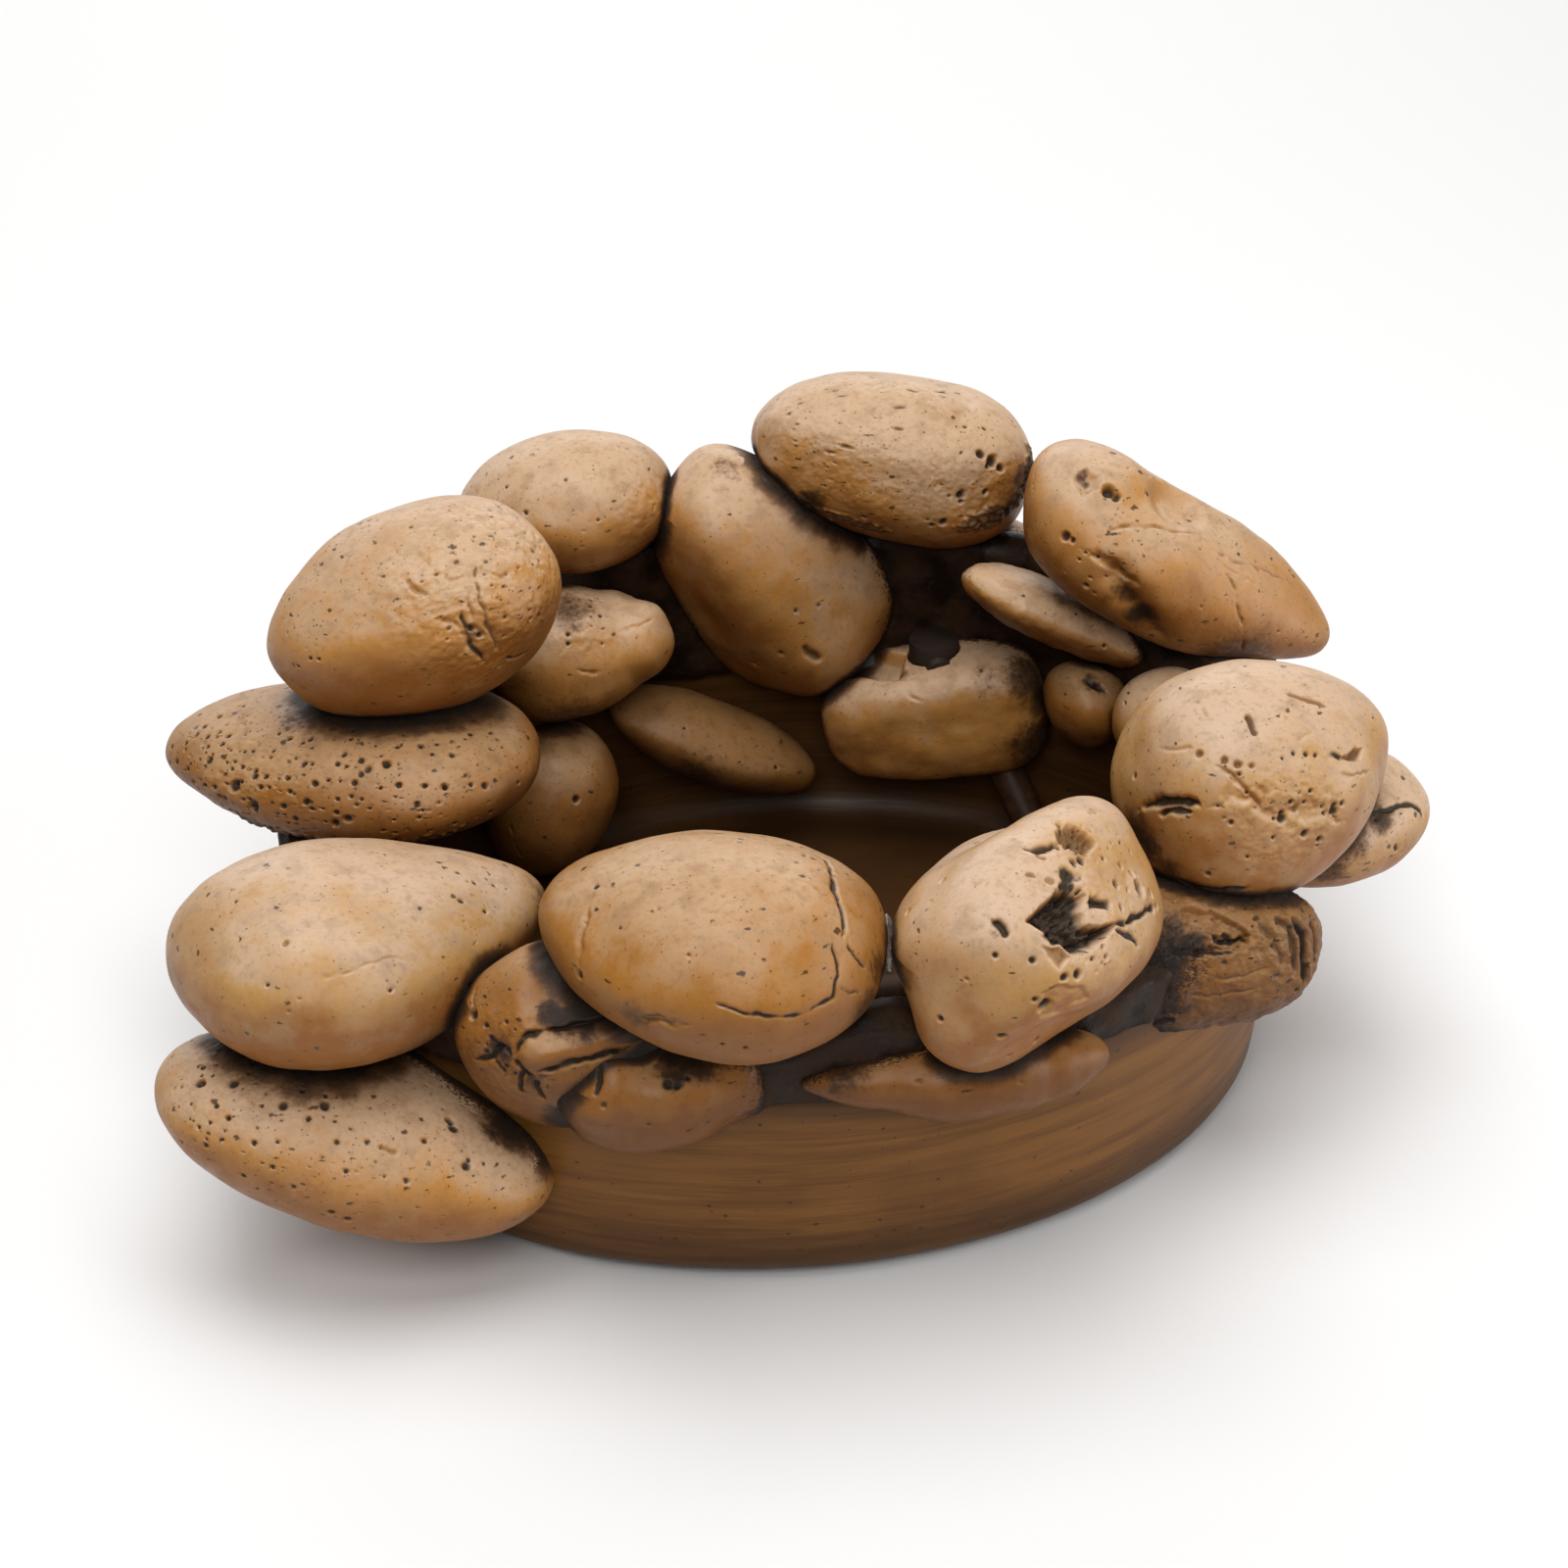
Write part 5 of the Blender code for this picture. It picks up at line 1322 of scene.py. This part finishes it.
def bore(stone):
    """Cuts the way of the tube and the spout out of a stone."""
    low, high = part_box("water_spout")
    middle = rim_point(RISER_ANGLE, -RISER_IN) * MM
    reach = middle.x - low.x + GAP * MM
    spare = 0.01  # above the spout
    deep = high.z - low.z + spare
    centre = (middle.x, middle.y, (low.z + high.z) / 2 + spare / 2)
    shape = bmesh.new()
    sizes = {"radius1": reach, "radius2": reach, "depth": deep}
    bmesh.ops.create_cone(shape, cap_ends=True, segments=48, **sizes)
    bmesh.ops.translate(shape, verts=shape.verts, vec=centre)
    spout_way = bpy.data.meshes.new("spout_way")
    shape.to_mesh(spout_way)
    shape.free()
    tube_way = loose_mesh("tube_way", *swept(tube_points(), envelope_profile, 24))
    cutters = [tube_way, linked("spout_way", spout_way)]
    for cutter in cutters:
        modifier = stone.modifiers.new("cut", "BOOLEAN")
        modifier.operation = "DIFFERENCE"
        modifier.object = cutter
    bpy.context.view_layer.update()
    graph = bpy.context.evaluated_depsgraph_get()
    mesh = bpy.data.meshes.new_from_object(stone.evaluated_get(graph))
    stone.modifiers.clear()
    stone.data = mesh
    for cutter in cutters:
        bpy.data.objects.remove(cutter)


def edge_smoothing():
    """Geometry nodes that shade smooth, apart from sharp edges."""
    tree = bpy.data.node_groups.new("edge_smoothing", "GeometryNodeTree")
    for in_out in ("INPUT", "OUTPUT"):
        tree.interface.new_socket("Geometry", in_out=in_out, socket_type="NodeSocketGeometry")
    start, end, faces, edges, angle, sharp = (tree.nodes.new(kind) for kind in (
        "NodeGroupInput", "NodeGroupOutput", "GeometryNodeSetShadeSmooth",
        "GeometryNodeSetShadeSmooth", "GeometryNodeInputMeshEdgeAngle", "FunctionNodeCompare",
    ))
    edges.domain = "EDGE"
    edges.inputs["Shade Smooth"].default_value = False
    sharp.inputs["B"].default_value = math.radians(SHARP_EDGE)
    for output, socket in (
        (angle.outputs["Unsigned Angle"], sharp.inputs["A"]),
        (sharp.outputs["Result"], edges.inputs["Selection"]),
        (start.outputs[0], faces.inputs["Geometry"]),
        (faces.outputs["Geometry"], edges.inputs["Geometry"]),
        (edges.outputs["Geometry"], end.inputs[0]),
    ):
        tree.links.new(output, socket)
    return tree


def dress(nodes, finish, edge=0.35):
    """Gives CAD nodes their finish, soft edges and smooth round faces."""
    for node in nodes:
        obj = NODES[node]
        obj.data.materials.clear()
        obj.data.materials.append(finish)
        obj.modifiers.new("weld", "WELD").merge_threshold = 0.00001
        bevel = obj.modifiers.new("bevel", "BEVEL")
        bevel.width = edge * MM
        bevel.segments = 2
        bevel.limit_method = "ANGLE"
        bevel.angle_limit = math.radians(40)
        bevel.use_clamp_overlap = True
        obj.modifiers.new("smooth", "NODES").node_group = SMOOTHING


def moulded(name, dark, light, rough=(0.36, 0.5), grain=0.5):
    """Injection-moulded plastic or rubber with a spark-eroded grain."""
    f = Finish(name, Specular_IOR_Level=0.5)
    patch = f.noise(9, 3)
    colour = f.mix(f.span(patch, 0.35, 0.7), dark, light)
    lime = f.span(f.noise(2.4, 5, 0.7), 0.58, 0.8, 0, 0.35)
    colour = f.mix(lime, colour, tuple(v * 2.2 + 0.02 for v in light))
    f.bump(f.noise(grain, 2), 0.22, 0.1)
    return f.done(colour, f.span(patch, 0.3, 0.7, *rough))


def dress_pump():
    black = moulded("moulded_black", (0.012, 0.012, 0.013), (0.024, 0.024, 0.026))
    brown = moulded("moulded_brown", (0.014, 0.008, 0.005), (0.026, 0.014, 0.008), (0.5, 0.65))
    rubber = moulded("soft_rubber", (0.014, 0.013, 0.013), (0.026, 0.025, 0.024), (0.6, 0.75), 0.8)
    rotor = moulded("rotor_grey", (0.04, 0.04, 0.045), (0.07, 0.07, 0.078))
    gate = moulded("gate_grey", (0.075, 0.075, 0.085), (0.12, 0.12, 0.13))
    cups = [f"pump_suction_cup_{number}" for number in (1, 2, 3, 4)]
    dress(["pump_motor_block", "pump_volute", "pump_intake_cover"], black)
    dress(["water_spout"], brown)
    dress(["pump_impeller"], rotor, 0.15)
    dress(["pump_flow_gate"], gate, 0.25)
    dress(["pump_bush_front", "pump_bush_rear"], rubber, 0.15)
    dress([*cups, "pump_cord_gland"], rubber, 0.2)
    dress(["pump_shaft"], ceramic(), 0.1)
    dress(["foot_pad"], pad_foam(), 0.3)


def ceramic():
    f = Finish("ground_ceramic", Specular_IOR_Level=0.55)
    lines = f.noise(0.5, 3, 0.6, f.scaled(1, 0.1, 1))
    colour = f.mix(f.span(lines, 0.4, 0.7), (0.80, 0.79, 0.75), (0.66, 0.65, 0.61))
    f.bump(lines, 0.15, 0.05)
    return f.done(colour, f.span(lines, 0.3, 0.7, 0.22, 0.34))


def pad_foam():
    f = Finish("closed_cell_foam", Specular_IOR_Level=0.3)
    cell = f.cells(0.7).outputs["Distance"]
    colour = f.mix(f.span(cell, 0.1, 0.5), (0.010, 0.010, 0.010), (0.030, 0.029, 0.028))
    f.bump(cell, 0.5, 0.2)
    return f.done(colour, f.span(f.noise(3, 2), 0.3, 0.7, 0.8, 0.92))


def sponge():
    """Open-cell filter foam: a soft-edged block with torn pores."""
    low, high = (np.array(corner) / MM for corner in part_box("pump_filter_sponge"))
    cuts = 31
    shape = bmesh.new()
    bmesh.ops.create_cube(shape, size=1)
    bmesh.ops.subdivide_edges(shape, edges=shape.edges, cuts=cuts, use_grid_fill=True)
    points = np.array([vert.co for vert in shape.verts]) * 2
    faces = [[vert.index for vert in face.verts] for face in shape.faces]
    shape.free()
    half = (high - low) / 2
    corner = 1.4
    inner = np.clip(points * half, -half + corner, half - corner)
    away = points * half - inner
    away /= np.maximum(np.linalg.norm(away, axis=1), 1e-9)[:, None]
    skin = inner + away * corner + (low + high) / 2
    sink = 0.12 + 0.5 * pit_field(skin, 1.5, 9, 0.85, 0.3, 0.6) + 0.12 * fractal(skin, 1.0, 6, 2)
    f = Finish("filter_foam", Specular_IOR_Level=0.25, Sheen_Weight=0.3)
    pore = f.cells(0.9).outputs["Distance"]
    colour = f.mix(f.span(pore, 0.15, 0.55), (0.008, 0.008, 0.009), (0.050, 0.050, 0.056))
    f.bump(pore, 0.7, 0.3)
    finish = f.done(colour, f.span(pore, 0.1, 0.6, 0.8, 0.95))
    points = skin - away * np.maximum(sink, 0.02)[:, None]
    nodes = ["pump_filter_sponge"]
    piece = mesh_piece("foam_filter", points, faces, finish, "sponge", nodes, "intake")


# ---------------------------------------------------------------- stage


def area_light(name, place, size, power):
    """A white softbox at a place, turned towards the object."""
    lamp = bpy.data.lights.new(name, "AREA")
    lamp.shape = "RECTANGLE"
    lamp.size, lamp.size_y = size
    lamp.energy = power
    obj = linked(name, lamp)
    obj.location = place
    obj.rotation_euler = (LIGHT_AIM - Vector(place)).to_track_quat("-Z", "Y").to_euler()


def lights():
    """A big softbox overhead, a pale panel behind, and weak light from the front and right."""
    world = bpy.data.worlds.new("studio")
    world.use_nodes = True
    back = world.node_tree.nodes["Background"]
    back.inputs["Color"].default_value = (1, 1, 1, 1)
    back.inputs["Strength"].default_value = 0.1
    bpy.context.scene.world = world
    area_light("top_softbox", (-0.1, 0.0, 1.25), (1.2, 1.0), 14)
    area_light("back_panel", (0.1, 1.4, 0.6), (1.8, 0.9), 11)
    area_light("front_softbox", (-0.25, -0.9, 0.9), (0.6, 0.5), 5)
    area_light("right_fill", (1.1, -0.4, 0.3), (0.8, 0.6), 6)


def camera():
    """The photograph's view: turned to the left of the front, and looking down."""
    turn, lift = math.radians(VIEW_TURN), math.radians(VIEW_LIFT)
    level = math.cos(lift)
    back = Vector((-math.sin(turn) * level, -math.cos(turn) * level, math.sin(lift)))
    obj = linked("camera", bpy.data.cameras.new("camera"))
    obj.data.sensor_width = 36
    obj.data.lens = VIEW_LENS
    obj.location = VIEW_AIM + back * VIEW_DISTANCE
    obj.rotation_mode = "QUATERNION"
    obj.rotation_quaternion = (-back).to_track_quat("-Z", "Y")
    obj.data.clip_start, obj.data.clip_end = 0.02, 20
    bpy.context.scene.camera = obj


def stage():
    bpy.context.scene.view_settings.view_transform = "Standard"
    side = 6000
    corners = [(-side, -side, 0), (side, -side, 0), (side, side, 0), (-side, side, 0)]
    floor = loose_mesh("floor", corners, [(0, 1, 2, 3)])
    floor.data.materials.append(Finish("pale_floor").done((0.86, 0.855, 0.85), 0.7))
    floor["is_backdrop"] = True
    lights()
    camera()


# ---------------------------------------------------------------- build


def carriers():
    """The rim and the mortar, as coarse rings for the wash and painted contact shade to gather
    against.
    """
    turns = 48
    rings = [], []
    for turn in range(turns):
        angle = 360 * turn / turns
        high = mortar_height(angle)
        sections = ((-4, 0), (4, 0), (4, -20), (-4, -20)), ((-5, 0), (-5, high), (5, high), (5, 0))
        for ring, section in zip(rings, sections):
            ring.extend(rim_point(angle, *spot) for spot in section)
    return [(corners, ring_faces(turns, 4, True)) for corners in rings]


CARRIERS = carriers()
SMOOTHING = edge_smoothing()
stage()
basin()
mortar()
resin(lay_stones())
riser_tube()
sponge()
dress_pump()
[[list(corner) for corner in box] for box in (CAD_BOX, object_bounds())]
